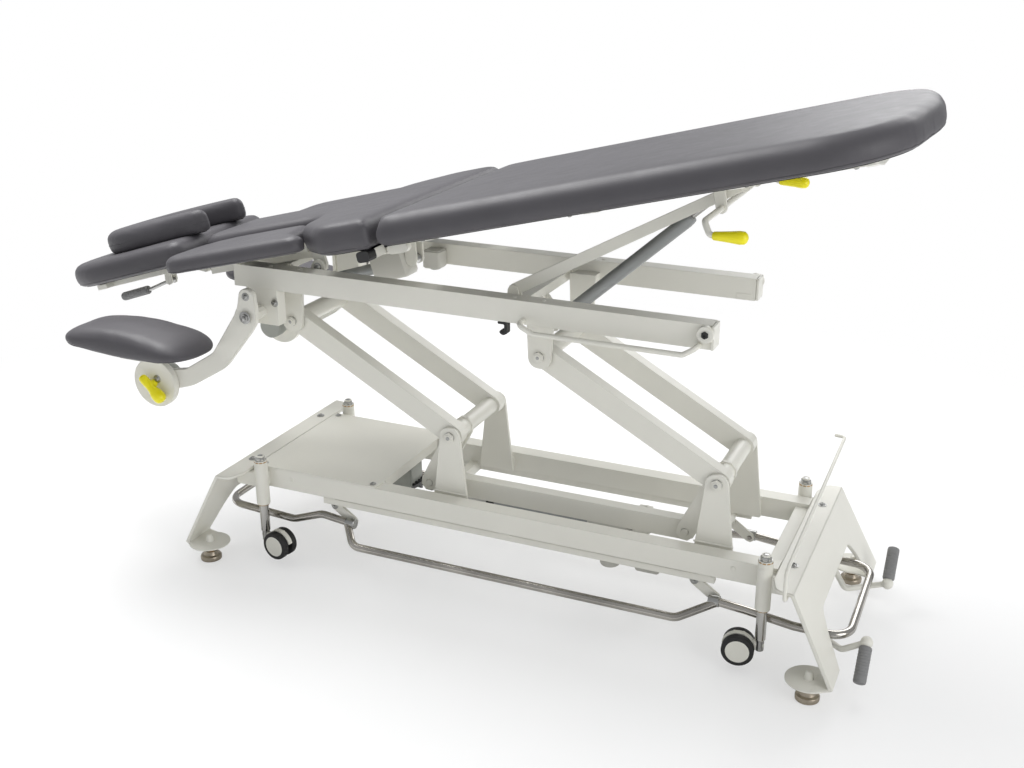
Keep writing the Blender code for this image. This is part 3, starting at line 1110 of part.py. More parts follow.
def make_armrests():
    for name, side in (("near", -1.0), ("far", 1.0)):
        half = ARMREST_PLATE / 2
        y0, y1 = sorted((side * (ARMREST_Y - half), side * (ARMREST_Y + half)))
        bolt = (ARMREST_BOLT_X, ARMREST_BOLT_Z)
        hub = (ARMREST_HUB_X, ARMREST_HUB_Z)
        elbow = (-0.812, 0.500)
        wrist = (-0.905, 0.452)
        upper = link(bolt, elbow, 0.028, 0.022, y0, y1)
        head = link((ARMREST_BOLT_X + 0.002, ARMREST_BOLT_Z + 0.045), bolt, 0.020, 0.028, y0, y1)
        lower = link(elbow, wrist, 0.022, 0.021, y0, y1)
        reach = link(wrist, hub, 0.021, 0.026, y0, y1)
        shaft_end = side * (ARMREST_Y + half + 0.0163)
        shaft = pin(hub[0], hub[1], side * ARMREST_Y, shaft_end, PIN_R)
        bore = pin(bolt[0], bolt[1], side * 0.20, side * 0.28, PIN_R + PIN_PLAY)
        arm = fuse([upper, head, lower, reach, shaft], [bore])
        piece("armrest_arm_" + name, arm, "coat", (bolt[0], side * ARMREST_Y, bolt[1]))
        face = side * (ARMREST_Y + half + SEAT)
        disc = pin(hub[0], hub[1], face, face + side * 0.016, HUB_R, FINE_SIDES)
        top = hub[1] + 0.046
        ledge_y = sorted((face + side * 0.002, side * 0.345))
        ledge = box(hub[0] - 0.048, hub[0] + 0.052, ledge_y[0], ledge_y[1], top, top + 0.008)
        web = box(hub[0] - 0.030, hub[0] + 0.030, *sorted((face + side * 0.002, face + side * 0.014)),
                  hub[1] + 0.020, top + 0.004)
        cuts = [pin(hub[0], hub[1], side * 0.21, side * 0.30, PIN_R + PIN_PLAY)]
        piece("armrest_hub_" + name, fuse([disc, web, ledge], cuts), "coat", (hub[0], side * ARMREST_Y, hub[1]))
        outer = face + side * (0.016 + SEAT)
        lever_y = outer + side * 0.012
        lever = fuse([pin(hub[0], hub[1], outer, outer + side * 0.014, 0.0085, 14),
                      bar((hub[0] - 0.010, lever_y, hub[1] + 0.010),
                          (hub[0] + 0.022, lever_y, hub[1] - 0.021), 0.0060, 12, 0.0100)])
        piece("armrest_clamp_" + name, lever, "yellow", (hub[0], outer, hub[1]))
        outline = rounded_outline([(-0.215, -0.085), (0.215, -0.085), (0.215, 0.085), (-0.215, 0.085)], 0.070, 6)
        cushion = pad(outline, 0.0, ARM_PAD_THICKNESS, 0.010)
        cushion.data.transform(Matrix.Translation((-1.048, side * 0.298, top + 0.008 + GAP + ARM_PAD_RISE))
                               @ Matrix.Rotation(-ARM_PAD_SLOPE, 4, "Y"))
        board = box(hub[0] - 0.046, hub[0] + 0.050, *sorted((side * 0.262, side * 0.340)), top + 0.008 + GAP,
                    top + 0.040)
        piece("arm_pad_" + name, fuse([cushion, board]), "vinyl", (hub[0], side * 0.298, top))


make_base_frame()
make_end_plate("head_end_plate", HEAD_FOLD_X, -1.0)
make_end_plate("foot_end_plate", FOOT_FOLD_X, 1.0)
make_base_trim()
make_castors()
make_pedals()
make_control_frame()
make_lift_arm("head_lift_arm", HEAD_PIVOT)
make_lift_arm("foot_lift_arm", FOOT_PIVOT)
make_tie_bar()
make_lift_actuator()
make_upper_frame()
make_upper_trim()
make_thorax_frame()
make_hinge_covers()
make_pivot_actuator()
make_leg_frame()
make_leg_supports()
make_release_handle()
make_head_frame()
make_head_lever()
make_pads()
make_armrests()
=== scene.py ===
"""Massage table: finishes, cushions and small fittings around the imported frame.

Metres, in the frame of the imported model. Most places are written from the middle between
the two lower lift pivots, as X, and SHIFT_X carries them into the model's frame.
"""
from math import atan2, cos, exp, hypot, pi, radians, sin, tan

import bmesh
import bpy
from mathutils import Matrix, Vector
from mathutils.bvhtree import BVHTree


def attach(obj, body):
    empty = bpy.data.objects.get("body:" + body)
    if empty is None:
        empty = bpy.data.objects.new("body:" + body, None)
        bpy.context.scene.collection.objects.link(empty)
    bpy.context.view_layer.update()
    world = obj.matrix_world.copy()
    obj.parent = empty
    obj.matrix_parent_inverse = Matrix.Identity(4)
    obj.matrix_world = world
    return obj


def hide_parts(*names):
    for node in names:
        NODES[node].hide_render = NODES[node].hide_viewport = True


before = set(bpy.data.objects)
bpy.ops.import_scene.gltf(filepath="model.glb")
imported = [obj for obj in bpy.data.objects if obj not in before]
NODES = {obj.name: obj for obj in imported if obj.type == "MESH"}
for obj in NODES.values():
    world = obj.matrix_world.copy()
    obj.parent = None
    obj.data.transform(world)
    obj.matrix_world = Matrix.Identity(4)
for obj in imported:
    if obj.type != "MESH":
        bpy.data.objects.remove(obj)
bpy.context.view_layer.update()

# General
SHIFT_X = 0.344
SHIFT = Matrix.Translation((SHIFT_X, 0, 0))
SIDES = (("near", -1), ("far", 1))
UP = Vector((0, 0, 1))
ACROSS = Vector((0, 1, 0))
TUBE_SIDES = 24
SEAT = 0.0003
SHARP_ANGLE = radians(35)
SMOOTH_ANGLE = radians(38)
STRAIGHT_ANGLE = radians(177)

# Camera
CAMERA_PLACE = (1.2137, -2.3749, 1.4574)
CAMERA_YAW = radians(22.596)
CAMERA_PITCH = radians(-19.863)
CAMERA_ROLL = radians(0.4146)
FOCAL_PIXELS = 1222.97
FRAME_SIZE = (1024, 768)
FRAME_CENTRE = (547.78, 364.7)
SENSOR = 36

# Light: name, place, aim, size and power of each lamp
LAMPS = (
    ("key", (-1.7, 0.5, 3.5), (0, 0, 0.5), 2.4, 140),
    ("fill", (4, -1.6, 1.7), (0, 0, 0.4), 2.6, 52),
    ("back", (0.6, 3.2, 2.6), (0, 0, 0.6), 2.4, 48),
)
WORLD_STRENGTH = 0.51
FLOOR_HALF = 30
FLOOR_FADE = (1.1, 2.2)
FLOOR_GLOW = 0.5

# Table
TILT = radians(14.2)
TOP_ORIGIN = (-0.37, 0.8435)
HEAD_SLOPE = radians(17.2)
HEAD_ORIGIN = (-0.955, 0.6836)
HEAD_TIP_X = -1.378
HINGE = (-0.36, 0.8285)
RAIL_TOP = 0.232
POST_HEAD_X = -0.771
POST_FOOT_X = 0.4406
POST_Y = 0.1966
WHEEL_R = 0.034
WHEEL_Z = 0.05
CASTOR_TRAIL = 0.0434
HEAD_FOLD_X = -0.852
FOOT_FOLD_X = 0.513
LOW_PIVOT_Z = 0.3694
HEAD_PIVOT_X = -0.304
FOOT_PIVOT_X = 0.3135
ARM_LENGTH = 0.4577
ARM_ANGLE = radians(29.06)
BRACKET_FACE_Y = 0.1272
UPPER_LOW = 0.6847
UPPER_TOP = UPPER_LOW + 0.05
UPPER_OUT = 0.1976
UPPER_FOOT_X = 0.3036
RAIL_INNER = 0.1585
HUB = (-1.003, 0.441)
ARM_BOLT = (-0.74, 0.631)
ARMREST_Y = 0.24
ARMREST_HALF = 0.007
CONTROL_R = 0.009
LEAD_R = 0.0028

# Cushions
PAD_LOW = -0.0027
HALF_WIDTH = 0.33
LEG_CORNER = 1.046
LEG_TIP = 1.084
ARM_PAD_X = -1.009
ARM_PAD_TURN = radians(1.5)
COVER_PULL = 0.0009
CROWN_REACH = 0.055
CLOTH_FRAMES = 14
WELT_R = 0.0011
WELT_STEP = 0.006


# Materials

def set_values(node, values):
    """Set a shader node's sockets; an underscore stands for a space in the name."""
    for name, value in values.items():
        node.inputs[name.replace("_", " ")].default_value = value


def add_node(tree, kind, **values):
    node = tree.nodes.new("ShaderNode" + kind)
    set_values(node, values)
    return node


def join(tree, *links):
    """Join nodes; each link is a source, its output, a target and its input."""
    for source, output, target, entry in links:
        tree.links.new(source.outputs[output], target.inputs[entry])


def node_tree(data):
    data.use_nodes = True
    return data.node_tree


def surface(name, color, roughness, metallic=0, grain=900, depth=0.00008, strength=0.3, mottle=0.05,
            cells=False, brushed=(1, 1, 1), edge=0, coat=0, scuff=0.12, specular=0.5):
    """A finish with fine relief, slight colour mottling, uneven gloss and eased edges."""
    material = bpy.data.materials.new(name)
    tree = node_tree(material)
    shader = tree.nodes["Principled BSDF"]
    set_values(shader, {"Metallic": metallic, "Coat Weight": coat, "Coat Roughness": 0.25,
                        "Specular IOR Level": specular})
    place = add_node(tree, "TexCoord")
    mapping = add_node(tree, "Mapping", Scale=brushed)
    broad = add_node(tree, "TexNoise", Scale=9, Detail=5)
    ramp = add_node(tree, "ValToRGB")
    for stop, position, share in zip(ramp.color_ramp.elements, (0.3, 0.7), (1 - mottle, 1 + mottle)):
        stop.position = position
        stop.color = (*[min(channel * share, 1) for channel in color], 1)
    fine = add_node(tree, "TexNoise", Scale=grain, Detail=3)
    smear = add_node(tree, "TexNoise", Scale=28, Detail=6)
    gloss = add_node(tree, "MapRange", To_Min=max(roughness - scuff / 2, 0.02), To_Max=roughness + scuff / 2)
    bump = add_node(tree, "Bump", Strength=strength, Distance=depth)
    join(tree, (place, "Object", mapping, "Vector"), (place, "Object", broad, "Vector"),
         (broad, "Fac", ramp, "Fac"), (ramp, "Color", shader, "Base Color"),
         (mapping, "Vector", fine, "Vector"), (mapping, "Vector", smear, "Vector"),
         (smear, "Fac", gloss, "Value"), (gloss, "Result", shader, "Roughness"),
         (bump, "Normal", shader, "Normal"))
    if cells:
        pebbles = add_node(tree, "TexVoronoi", Scale=grain)
        pebbles.feature = "DISTANCE_TO_EDGE"
        wobble = add_node(tree, "MixRGB", Fac=0.0012)
        wobble.blend_type = "LINEAR_LIGHT"
        shape = add_node(tree, "MapRange", From_Max=0.35)
        shape.interpolation_type = "SMOOTHSTEP"
        join(tree, (mapping, "Vector", wobble, "Color1"), (fine, "Color", wobble, "Color2"),
             (wobble, "Color", pebbles, "Vector"), (pebbles, "Distance", shape, "Value"),
             (shape, "Result", bump, "Height"))
    else:
        join(tree, (fine, "Fac", bump, "Height"))
    if edge:
        bevel = add_node(tree, "Bevel", Radius=edge)
        bevel.samples = 6
        join(tree, (bevel, "Normal", bump, "Normal"))
    return material


COAT = surface("powder_coat", (0.76, 0.748, 0.68), 0.36, depth=0.0001, strength=0.2, mottle=0.015,
               edge=0.0018)
VINYL = surface("grey_vinyl", (0.086, 0.082, 0.09), 0.47, grain=620, depth=0.00016, mottle=0.07,
                cells=True, scuff=0.14, specular=0.36)
THREAD = surface("vinyl_seam", (0.07, 0.068, 0.073), 0.55, mottle=0.1)
CHROME = surface("polished_steel", (0.52, 0.51, 0.49), 0.17, metallic=1, grain=400, depth=0.00002,
                 strength=0.15, mottle=0.03, scuff=0.1)
BAR = surface("stainless_bar", (0.42, 0.4, 0.37), 0.19, metallic=1, grain=500, depth=0.00003,
              strength=0.25, mottle=0.3, brushed=(1, 1, 6), scuff=0.16)
STEEL = surface("zinc_steel", (0.4, 0.4, 0.39), 0.3, metallic=1, grain=260, depth=0.00003,
                mottle=0.06, brushed=(1, 12, 1), edge=0.0004)
TUBE_GREY = surface("tube_grey", (0.3, 0.31, 0.31), 0.42, metallic=0.25, grain=420, mottle=0.04)
FOOT_STEEL = surface("foot_steel", (0.4, 0.35, 0.28), 0.36, metallic=1, grain=320, mottle=0.14,
                     edge=0.0006)
BRONZE = surface("bronze_bush", (0.42, 0.27, 0.12), 0.38, metallic=1, grain=300, mottle=0.14, edge=0.0004)
YELLOW = surface("yellow_grip", (0.9, 0.81, 0.006), 0.34, grain=500, strength=0.12, mottle=0.02,
                 coat=0.08, edge=0.0006)
RUBBER = surface("grey_rubber", (0.225, 0.225, 0.225), 0.72, grain=800, depth=0.00012, mottle=0.08)
BLACK = surface("black_plastic", (0.018, 0.018, 0.019), 0.5, depth=0.0001, mottle=0.12, edge=0.0005)
TYRE = surface("tyre", (0.014, 0.014, 0.014), 0.62, depth=0.00012, mottle=0.15)
CREAM = surface("cream_hub", (0.74, 0.73, 0.66), 0.42, grain=700, mottle=0.02, edge=0.0004)
MOTOR = surface("motor_plastic", (0.36, 0.37, 0.34), 0.52, grain=950, depth=0.00012, mottle=0.04,
                edge=0.0012)
PALE_BOX = surface("pale_plastic", (0.6, 0.59, 0.54), 0.48, depth=0.0001, mottle=0.02, edge=0.0012)
DUST_CLOTH = surface("dust_cloth", (0.02, 0.02, 0.021), 0.9, grain=1100, depth=0.0002, strength=0.6,
                     mottle=0.2)
CABLE = surface("cable_jacket", (0.03, 0.03, 0.031), 0.55, mottle=0.08)


# Outlines

def arc(centre, radius, start, sweep, steps):
    """Points on an arc, with both its ends."""
    angles = [start + sweep * step / steps for step in range(steps + 1)]
    return [(centre[0] + radius * cos(a), centre[1] + radius * sin(a)) for a in angles]


def corner_arc(before, corner, after, radius):
    """The centre and radius of an arc swept round a corner, and the spokes to its ends."""
    back, ahead = before - corner, after - corner
    half = back.angle(ahead) / 2
    reach = min(radius / tan(half), back.length * 0.49, ahead.length * 0.49)
    swept = reach * tan(half)
    back.normalize()
    ahead.normalize()
    centre = corner + (back + ahead).normalized() * (swept / sin(half))
    return centre, swept, corner + back * reach - centre, corner + ahead * reach - centre


def swept_corners(points, radius, steps=8):
    """A path whose corners are swept with a radius."""
    points = [Vector(point) for point in points]
    path = [points[0]]
    for before, corner, after in zip(points, points[1:], points[2:]):
        if (before - corner).angle(after - corner) > STRAIGHT_ANGLE:
            path.append(corner)
            continue
        centre, swept, start, end = corner_arc(before, corner, after, radius)
        for step in range(steps + 1):
            path.append(centre + start.slerp(end, step / steps).normalized() * swept)
    path.append(points[-1])
    return path


def swept_outline(points, radii, steps=6):
    """A closed 2-D outline whose corners are swept."""
    outline = []
    points = [Vector(point) for point in points]
    for index, corner in enumerate(points):
        radius = radii[index] if isinstance(radii, (list, tuple)) else radii
        following = points[(index + 1) % len(points)]
        centre, swept, start, end = corner_arc(points[index - 1], corner, following, radius)
        first = atan2(start.y, start.x)
        sweep = (atan2(end.y, end.x) - first + pi) % (2 * pi) - pi
        outline += arc(centre, swept, first, sweep, steps)
    return outline


def block_outline(x0, x1, y0, y1, radius, steps=5):
    """A rectangle with swept corners."""
    return swept_outline([(x0, y0), (x1, y0), (x1, y1), (x0, y1)], radius, steps)


def mirrored(half, flip):
    """An outline from one half and the signs that turn it into the other."""
    return half + [(a * flip[0], b * flip[1]) for a, b in reversed(half)]


def link_outline(start, end, start_r, end_r, steps=12):
    """A flat link: two round ends joined by straight sides."""
    dx, dz = end[0] - start[0], end[1] - start[1]
    heading = atan2(dz, dx)
    lean = (start_r - end_r) / hypot(dx, dz)
    outline = []
    for centre, radius, base, turn in ((start, start_r, heading + pi, lean), (end, end_r, heading, -lean)):
        half = pi / 2 + turn
        outline += arc(centre, radius, base - half, 2 * half, steps)
    return outline


def ahead_at(path, index):
    return (path[min(index + 1, len(path) - 1)] - path[max(index - 1, 0)]).normalized()


def banded_outline(line, halves, bend=0.085, steps=10):
    """The outline of a plate of varying width round a bent line, with round ends."""
    path = swept_corners([(x, 0, z) for x, z in line], bend, steps)
    spans = [0]
    for a, b in zip(path, path[1:]):
        spans.append(spans[-1] + (b - a).length)
    knots = [0]
    for a, b in zip(line, line[1:]):
        knots.append(knots[-1] + hypot(b[0] - a[0], b[1] - a[1]))
    left, right = [], []
    for index, point in enumerate(path):
        place = spans[index] / spans[-1] * knots[-1]
        section = min(max(sum(1 for knot in knots if knot <= place) - 1, 0), len(line) - 2)
        share = min(max((place - knots[section]) / (knots[section + 1] - knots[section]), 0), 1)
        half = halves[section] + (halves[section + 1] - halves[section]) * share
        ahead = ahead_at(path, index)
        left.append((point.x - ahead.z * half, point.z + ahead.x * half))
        right.append((point.x + ahead.z * half, point.z - ahead.x * half))
    ends = []
    for centre, inner, half in ((path[-1], path[-2], halves[-1]), (path[0], path[1], halves[0])):
        heading = atan2(centre.z - inner.z, centre.x - inner.x)
        ends.append(arc((centre.x, centre.z), half, heading + pi / 2, -pi, 12)[1:-1])
    return left + ends[0] + right[::-1] + ends[1]


# Solids

def from_rings(rings, closed=False):
    """A solid through rings of points, capped at its ends or closed on itself."""
    bm = bmesh.new()
    loops = [[bm.verts.new(point) for point in ring] for ring in rings]
    following = loops[1:] + loops[:1] if closed else loops[1:]
    for lower, upper in zip(loops, following):
        for index in range(len(lower)):
            after = (index + 1) % len(lower)
            bm.faces.new((lower[index], lower[after], upper[after], upper[index]))
    if not closed:
        bm.faces.new(loops[0])
        bm.faces.new(loops[-1])
    bmesh.ops.recalc_face_normals(bm, faces=bm.faces)
    return bm


def prism(points, axis, low, high):
    """An outline pushed along an axis; its pairs are the other two axes in order."""
    place = "xyz".index(axis)
    return from_rings([[(*pair[:place], value, *pair[place:]) for pair in points] for value in (low, high)])


def box(x0, x1, y0, y1, z0, z1):
    return prism([(x0, y0), (x1, y0), (x1, y1), (x0, y1)], "z", z0, z1)


def side_box(x0, x1, side, near_y, far_y, z0, z1):
    """A box on one side of the middle plane, between two distances from it."""
    return box(x0, x1, *sorted((side * near_y, side * far_y)), z0, z1)


def across(start, end, start_r, end_r, y0, y1):
    return prism(link_outline(start, end, start_r, end_r), "y", min(y0, y1), max(y0, y1))


def square_to(direction):
    helper = ACROSS if abs(direction.y) < 0.9 else Vector((1, 0, 0))
    first = direction.cross(helper).normalized()
    return first, direction.cross(first).normalized()


def ring_round(centre, first, second, radius, sides):
    turn = [2 * pi * step / sides for step in range(sides)]
    return [centre + radius * (cos(a) * first + sin(a) * second) for a in turn]


def spun(profile, start, way, sides=32):
    """A solid turned from (distance along, radius) pairs round a line."""
    start = Vector(start)
    way = Vector(way).normalized()
    first, second = square_to(way)
    rings = [ring_round(start + way * along, first, second, radius, sides) for along, radius in profile]
    return from_rings(rings)


def turned(profile, start, way, sides=32):
    """The same from a profile in millimetres."""
    return spun([(along / 1000, radius / 1000) for along, radius in profile], start, way, sides)


def rod(start, end, radius, sides=TUBE_SIDES, ease=0.0006):
    """A round bar with eased ends."""
    start, end = Vector(start), Vector(end)
    length = (end - start).length
    profile = [(0, radius - ease), (ease, radius), (length - ease, radius), (length, radius - ease)]
    return spun(profile, start, end - start, sides)


def cross_rod(centre, half, radius, sides=TUBE_SIDES):
    """A round bar along Y."""
    centre = Vector(centre)
    return rod(centre - ACROSS * half, centre + ACROSS * half, radius, sides)


def tube(points, radius, bend=0.02, sides=20, steps=8):
    """A round bar along a path with swept corners."""
    path = swept_corners(points, bend, steps)
    first = square_to(ahead_at(path, 0))[0]
    rings = []
    for index, point in enumerate(path):
        ahead = ahead_at(path, index)
        first = (first - first.dot(ahead) * ahead).normalized()
        rings.append(ring_round(point, first, ahead.cross(first), radius, sides))
    return from_rings(rings)


def turned_by(bm, matrix):
    bmesh.ops.transform(bm, matrix=matrix, verts=bm.verts)
    return bm


def eased(bm, width, segments=2):
    """Ease the sharp edges of a solid."""
    sharp = [edge for edge in bm.edges if edge.is_manifold and edge.calc_face_angle(0) > SHARP_ANGLE]
    bmesh.ops.bevel(bm, geom=sharp, offset=width, segments=segments, affect="EDGES", clamp_overlap=True)
    return bm


def sloped_place(origin, slope):
    return Matrix.Translation((origin[0], 0, origin[1])) @ Matrix.Rotation(-slope, 4, "Y")


TOP_PLACE = sloped_place(TOP_ORIGIN, TILT)
HEAD_PLACE = sloped_place(HEAD_ORIGIN, HEAD_SLOPE)


# Objects

def mesh_from(name, bm):
    mesh = bpy.data.meshes.new(name)
    bm.to_mesh(mesh)
    bm.free()
    return mesh


def add_object(name, data):
    item = bpy.data.objects.new(name, data)
    bpy.context.scene.collection.objects.link(item)
    return item


def evaluated_mesh(item):
    return bpy.data.meshes.new_from_object(item.evaluated_get(bpy.context.evaluated_depsgraph_get()))


def bake(item):
    """Give an object the mesh that its modifiers make."""
    old = item.data
    mesh = evaluated_mesh(item)
    item.modifiers.clear()
    item.data = mesh
    bpy.data.meshes.remove(old)


def piece(name, parts, body, slot, *nodes):
    """One object from solids with a material each; it rides a body and may stand for CAD nodes."""
    total = bmesh.new()
    mesh = bpy.data.meshes.new(name)
    materials = []
    for bm, material in parts:
        if material not in materials:
            materials.append(material)
            mesh.materials.append(material)
        for face in bm.faces:
            face.material_index = materials.index(material)
        part = mesh_from("part", bm)
        total.from_mesh(part)
        bpy.data.meshes.remove(part)
    turned_by(total, SHIFT).to_mesh(mesh)
    total.free()
    item = add_object(name, mesh)
    mesh.shade_smooth()
    mesh.set_sharp_from_angle(angle=SMOOTH_ANGLE)
    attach(item, body)
    if nodes:
        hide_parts(*nodes)
    return item


# Fasteners

def cap_screw(place, way, radius, height):
    """A domed screw on a washer, with a hexagon socket ring."""
    place, way = Vector(place), Vector(way).normalized()
    washer = spun([(0, radius * 1.55), (0.0012, radius * 1.55), (0.0014, radius * 1.45)], place, way)
    head = spun([(0, radius), (height * 0.35, radius), (height * 0.75, radius * 0.86),
                 (height, radius * 0.55), (height, radius * 0.42), (height * 0.5, radius * 0.4)],
                place + way * 0.0013, way)
    return [(washer, STEEL), (head, STEEL)]


def hex_bolt(place, way, radius, height):
    washer = spun([(0, radius * 1.5), (0.0015, radius * 1.5), (0.0017, radius * 1.4)], place, way)
    head = spun([(0.0015, radius), (height * 0.85, radius), (height, radius * 0.88)], place, way, 6)
    shank = spun([(height * 0.8, radius * 0.55), (height + 0.003, radius * 0.55),
                  (height + 0.0037, radius * 0.42)], place, way)
    return [(washer, STEEL), (head, STEEL), (shank, STEEL)]


def plug_cap(place, way, radius):
    """A flat coated cap over a screw."""
    profile = [(0, radius), (0.0008, radius), (0.0016, radius * 0.7), (0.0018, radius * 0.3)]
    return [(spun(profile, place, way), COAT)]


def side_row(kind, xs, y, z, size, way=None):
    """Fasteners on both sides at each X, facing outwards unless a way is given."""
    parts = []
    for x in xs:
        for _, side in SIDES:
            parts += kind((x, side * y, z), way or (0, side, 0), *size)
    return parts


# Cushions

def inside_offset(outline, distance):
    """Move a closed outline inwards."""
    count = len(outline)
    area = sum(outline[i - 1][0] * outline[i][1] - outline[i][0] * outline[i - 1][1] for i in range(count))
    hand = 1 if area > 0 else -1
    points = [Vector(point) for point in outline]
    moved = []
    for index, here in enumerate(points):
        normal = Vector((0, 0))
        for a, b in ((points[index - 1], here), (here, points[(index + 1) % count])):
            way = b - a
            if way.length > 1e-7:
                way.normalize()
                normal += hand * Vector((-way.y, way.x))
        normal.normalize()
        moved.append(tuple(here + normal * distance))
    return moved


def edge_distance(x, y, outline):
    """How far a point is from an outline."""
    best = 10
    for index in range(len(outline)):
        ax, ay = outline[index - 1]
        bx, by = outline[index]
        dx, dy = bx - ax, by - ay
        span = dx * dx + dy * dy
        if span < 1e-12:
            continue
        share = min(max(((x - ax) * dx + (y - ay) * dy) / span, 0), 1)
        best = min(best, hypot(x - ax - share * dx, y - ay - share * dy))
    return best


def inflate(item, cap):
    """Swell the cover a little, as filling does."""
    before = [vertex.co.copy() for vertex in item.data.vertices]
    cloth = item.modifiers.new("cloth", "CLOTH")
    cloth.settings.use_pressure = True
    cloth.settings.uniform_pressure_force = 4
    cloth.settings.effector_weights.gravity = 0
    cloth.settings.quality = 5
    cloth.point_cache.frame_end = CLOTH_FRAMES
    scene = bpy.context.scene
    for step in range(1, CLOTH_FRAMES + 1):
        scene.frame_set(step)
    swollen = evaluated_mesh(item)
    item.modifiers.clear()
    for vertex, start, end in zip(item.data.vertices, before, swollen.vertices):
        move = end.co - start
        vertex.co = start + (move if move.length < cap else move.normalized() * cap)
    bpy.data.meshes.remove(swollen)
    scene.frame_set(1)


def refine(item):
    """Relax the cover and add a subdivision."""
    relax = item.modifiers.new("relax", "SMOOTH")
    relax.factor = 0.5
    relax.iterations = 4
    divide = item.modifiers.new("divide", "SUBSURF")
    divide.levels = 1
    divide.render_levels = 1
    bake(item)


def crown_cover(item, outline, low, thickness, crown, taper):
    """Raise the cover towards its middle, and shape it by the taper if there is one."""
    for vertex in item.data.vertices:
        x, y, z = vertex.co
        share = min(max((z - low) / thickness, 0), 1)
        rise = crown * (1 - exp(-edge_distance(x, y, outline) / CROWN_REACH)) * share
        if taper:
            rise += taper(x, share)
        if share < 0.08:
            vertex.co.z = max(z, low + 0.0006)
        vertex.co.z += rise


def welt_along(item, outline, height):
    """A closed thin cord that lies on a cover beside its outline."""
    tree = BVHTree.FromObject(item, bpy.context.evaluated_depsgraph_get())
    path = []
    for x, y in inside_offset(outline, -0.004):
        hit = tree.find_nearest(Vector((x, y, height)))[0]
        if not path or (hit - path[-1]).length > WELT_STEP:
            path.append(hit)
    rings = []
    for index, point in enumerate(path):
        ahead = (path[(index + 1) % len(path)] - path[index - 1]).normalized()
        rings.append(ring_round(point, ahead.cross(UP).normalized(), UP, WELT_R, 6))
    return from_rings(rings, closed=True)


def cushion(name, outline, low, high, body, node, place, crown, top_r, low_r, voxel, cap=0.002, board=0.02,
            seam_height=0, taper=None):
    """A firm upholstered pad with eased edges, a crown, a welt low on its side and a backing board."""
    angles = [pi / 8 * step for step in range(5)]
    layers = [(low + low_r * (1 - cos(a)), low_r * (1 - sin(a))) for a in angles]
    if high - top_r > low + low_r + 0.004:
        layers.append(((low + low_r + high - top_r) / 2, 0))
    angles = [pi / 10 * step for step in range(6)]
    layers += [(high - top_r * (1 - sin(a)), top_r * (1 - cos(a))) for a in angles]
    rings = [[(x, y, z) for x, y in inside_offset(outline, inset + COVER_PULL)] for z, inset in layers]
    item = add_object(name, mesh_from(name, from_rings(rings)))
    remesh = item.modifiers.new("remesh", "REMESH")
    remesh.mode = "VOXEL"
    remesh.voxel_size = voxel
    bake(item)
    inflate(item, cap)
    thickness = high - low
    crown_cover(item, outline, low, thickness, crown, taper)
    refine(item)
    item.data.materials.append(VINYL)
    welt = welt_along(item, outline, low + thickness * seam_height)
    backing = eased(prism(inside_offset(outline, board), "z", low, low + 0.003), 0.0008)
    item.data.transform(SHIFT @ place)
    item.data.shade_smooth()
    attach(item, body)
    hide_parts(node)
    parts = [(turned_by(welt, place), THREAD), (turned_by(backing, place), DUST_CLOTH)]
    piece(name + "_trim", parts, body, "vinyl")


def level_x(x, z):
    return (x - TOP_ORIGIN[0]) * cos(TILT) + (z - TOP_ORIGIN[1]) * sin(TILT)


def arm_pad_taper(x, share):
    """The pad arches along its length and thins towards the head end."""
    return (-0.8 * share + 0.45 * (1 - share)) * x * x


def face_outline(centre, inner, outer, arm):
    """A horseshoe, open towards the foot end."""
    tip = [(-0.02, 0.024), (-0.004, 0.036), (0, 0.048)]
    points = arc((centre, 0), outer, pi / 2, pi, 24)
    points += [(centre + arm + x, -outer + y) for x, y in tip]
    points.append((centre + arm - 0.008, -inner - 0.016))
    points += arc((centre, 0), inner, -pi / 2, -pi, 24)
    points.append((centre + arm - 0.008, inner + 0.016))
    return points + [(centre + arm + x, outer - y) for x, y in reversed(tip)]


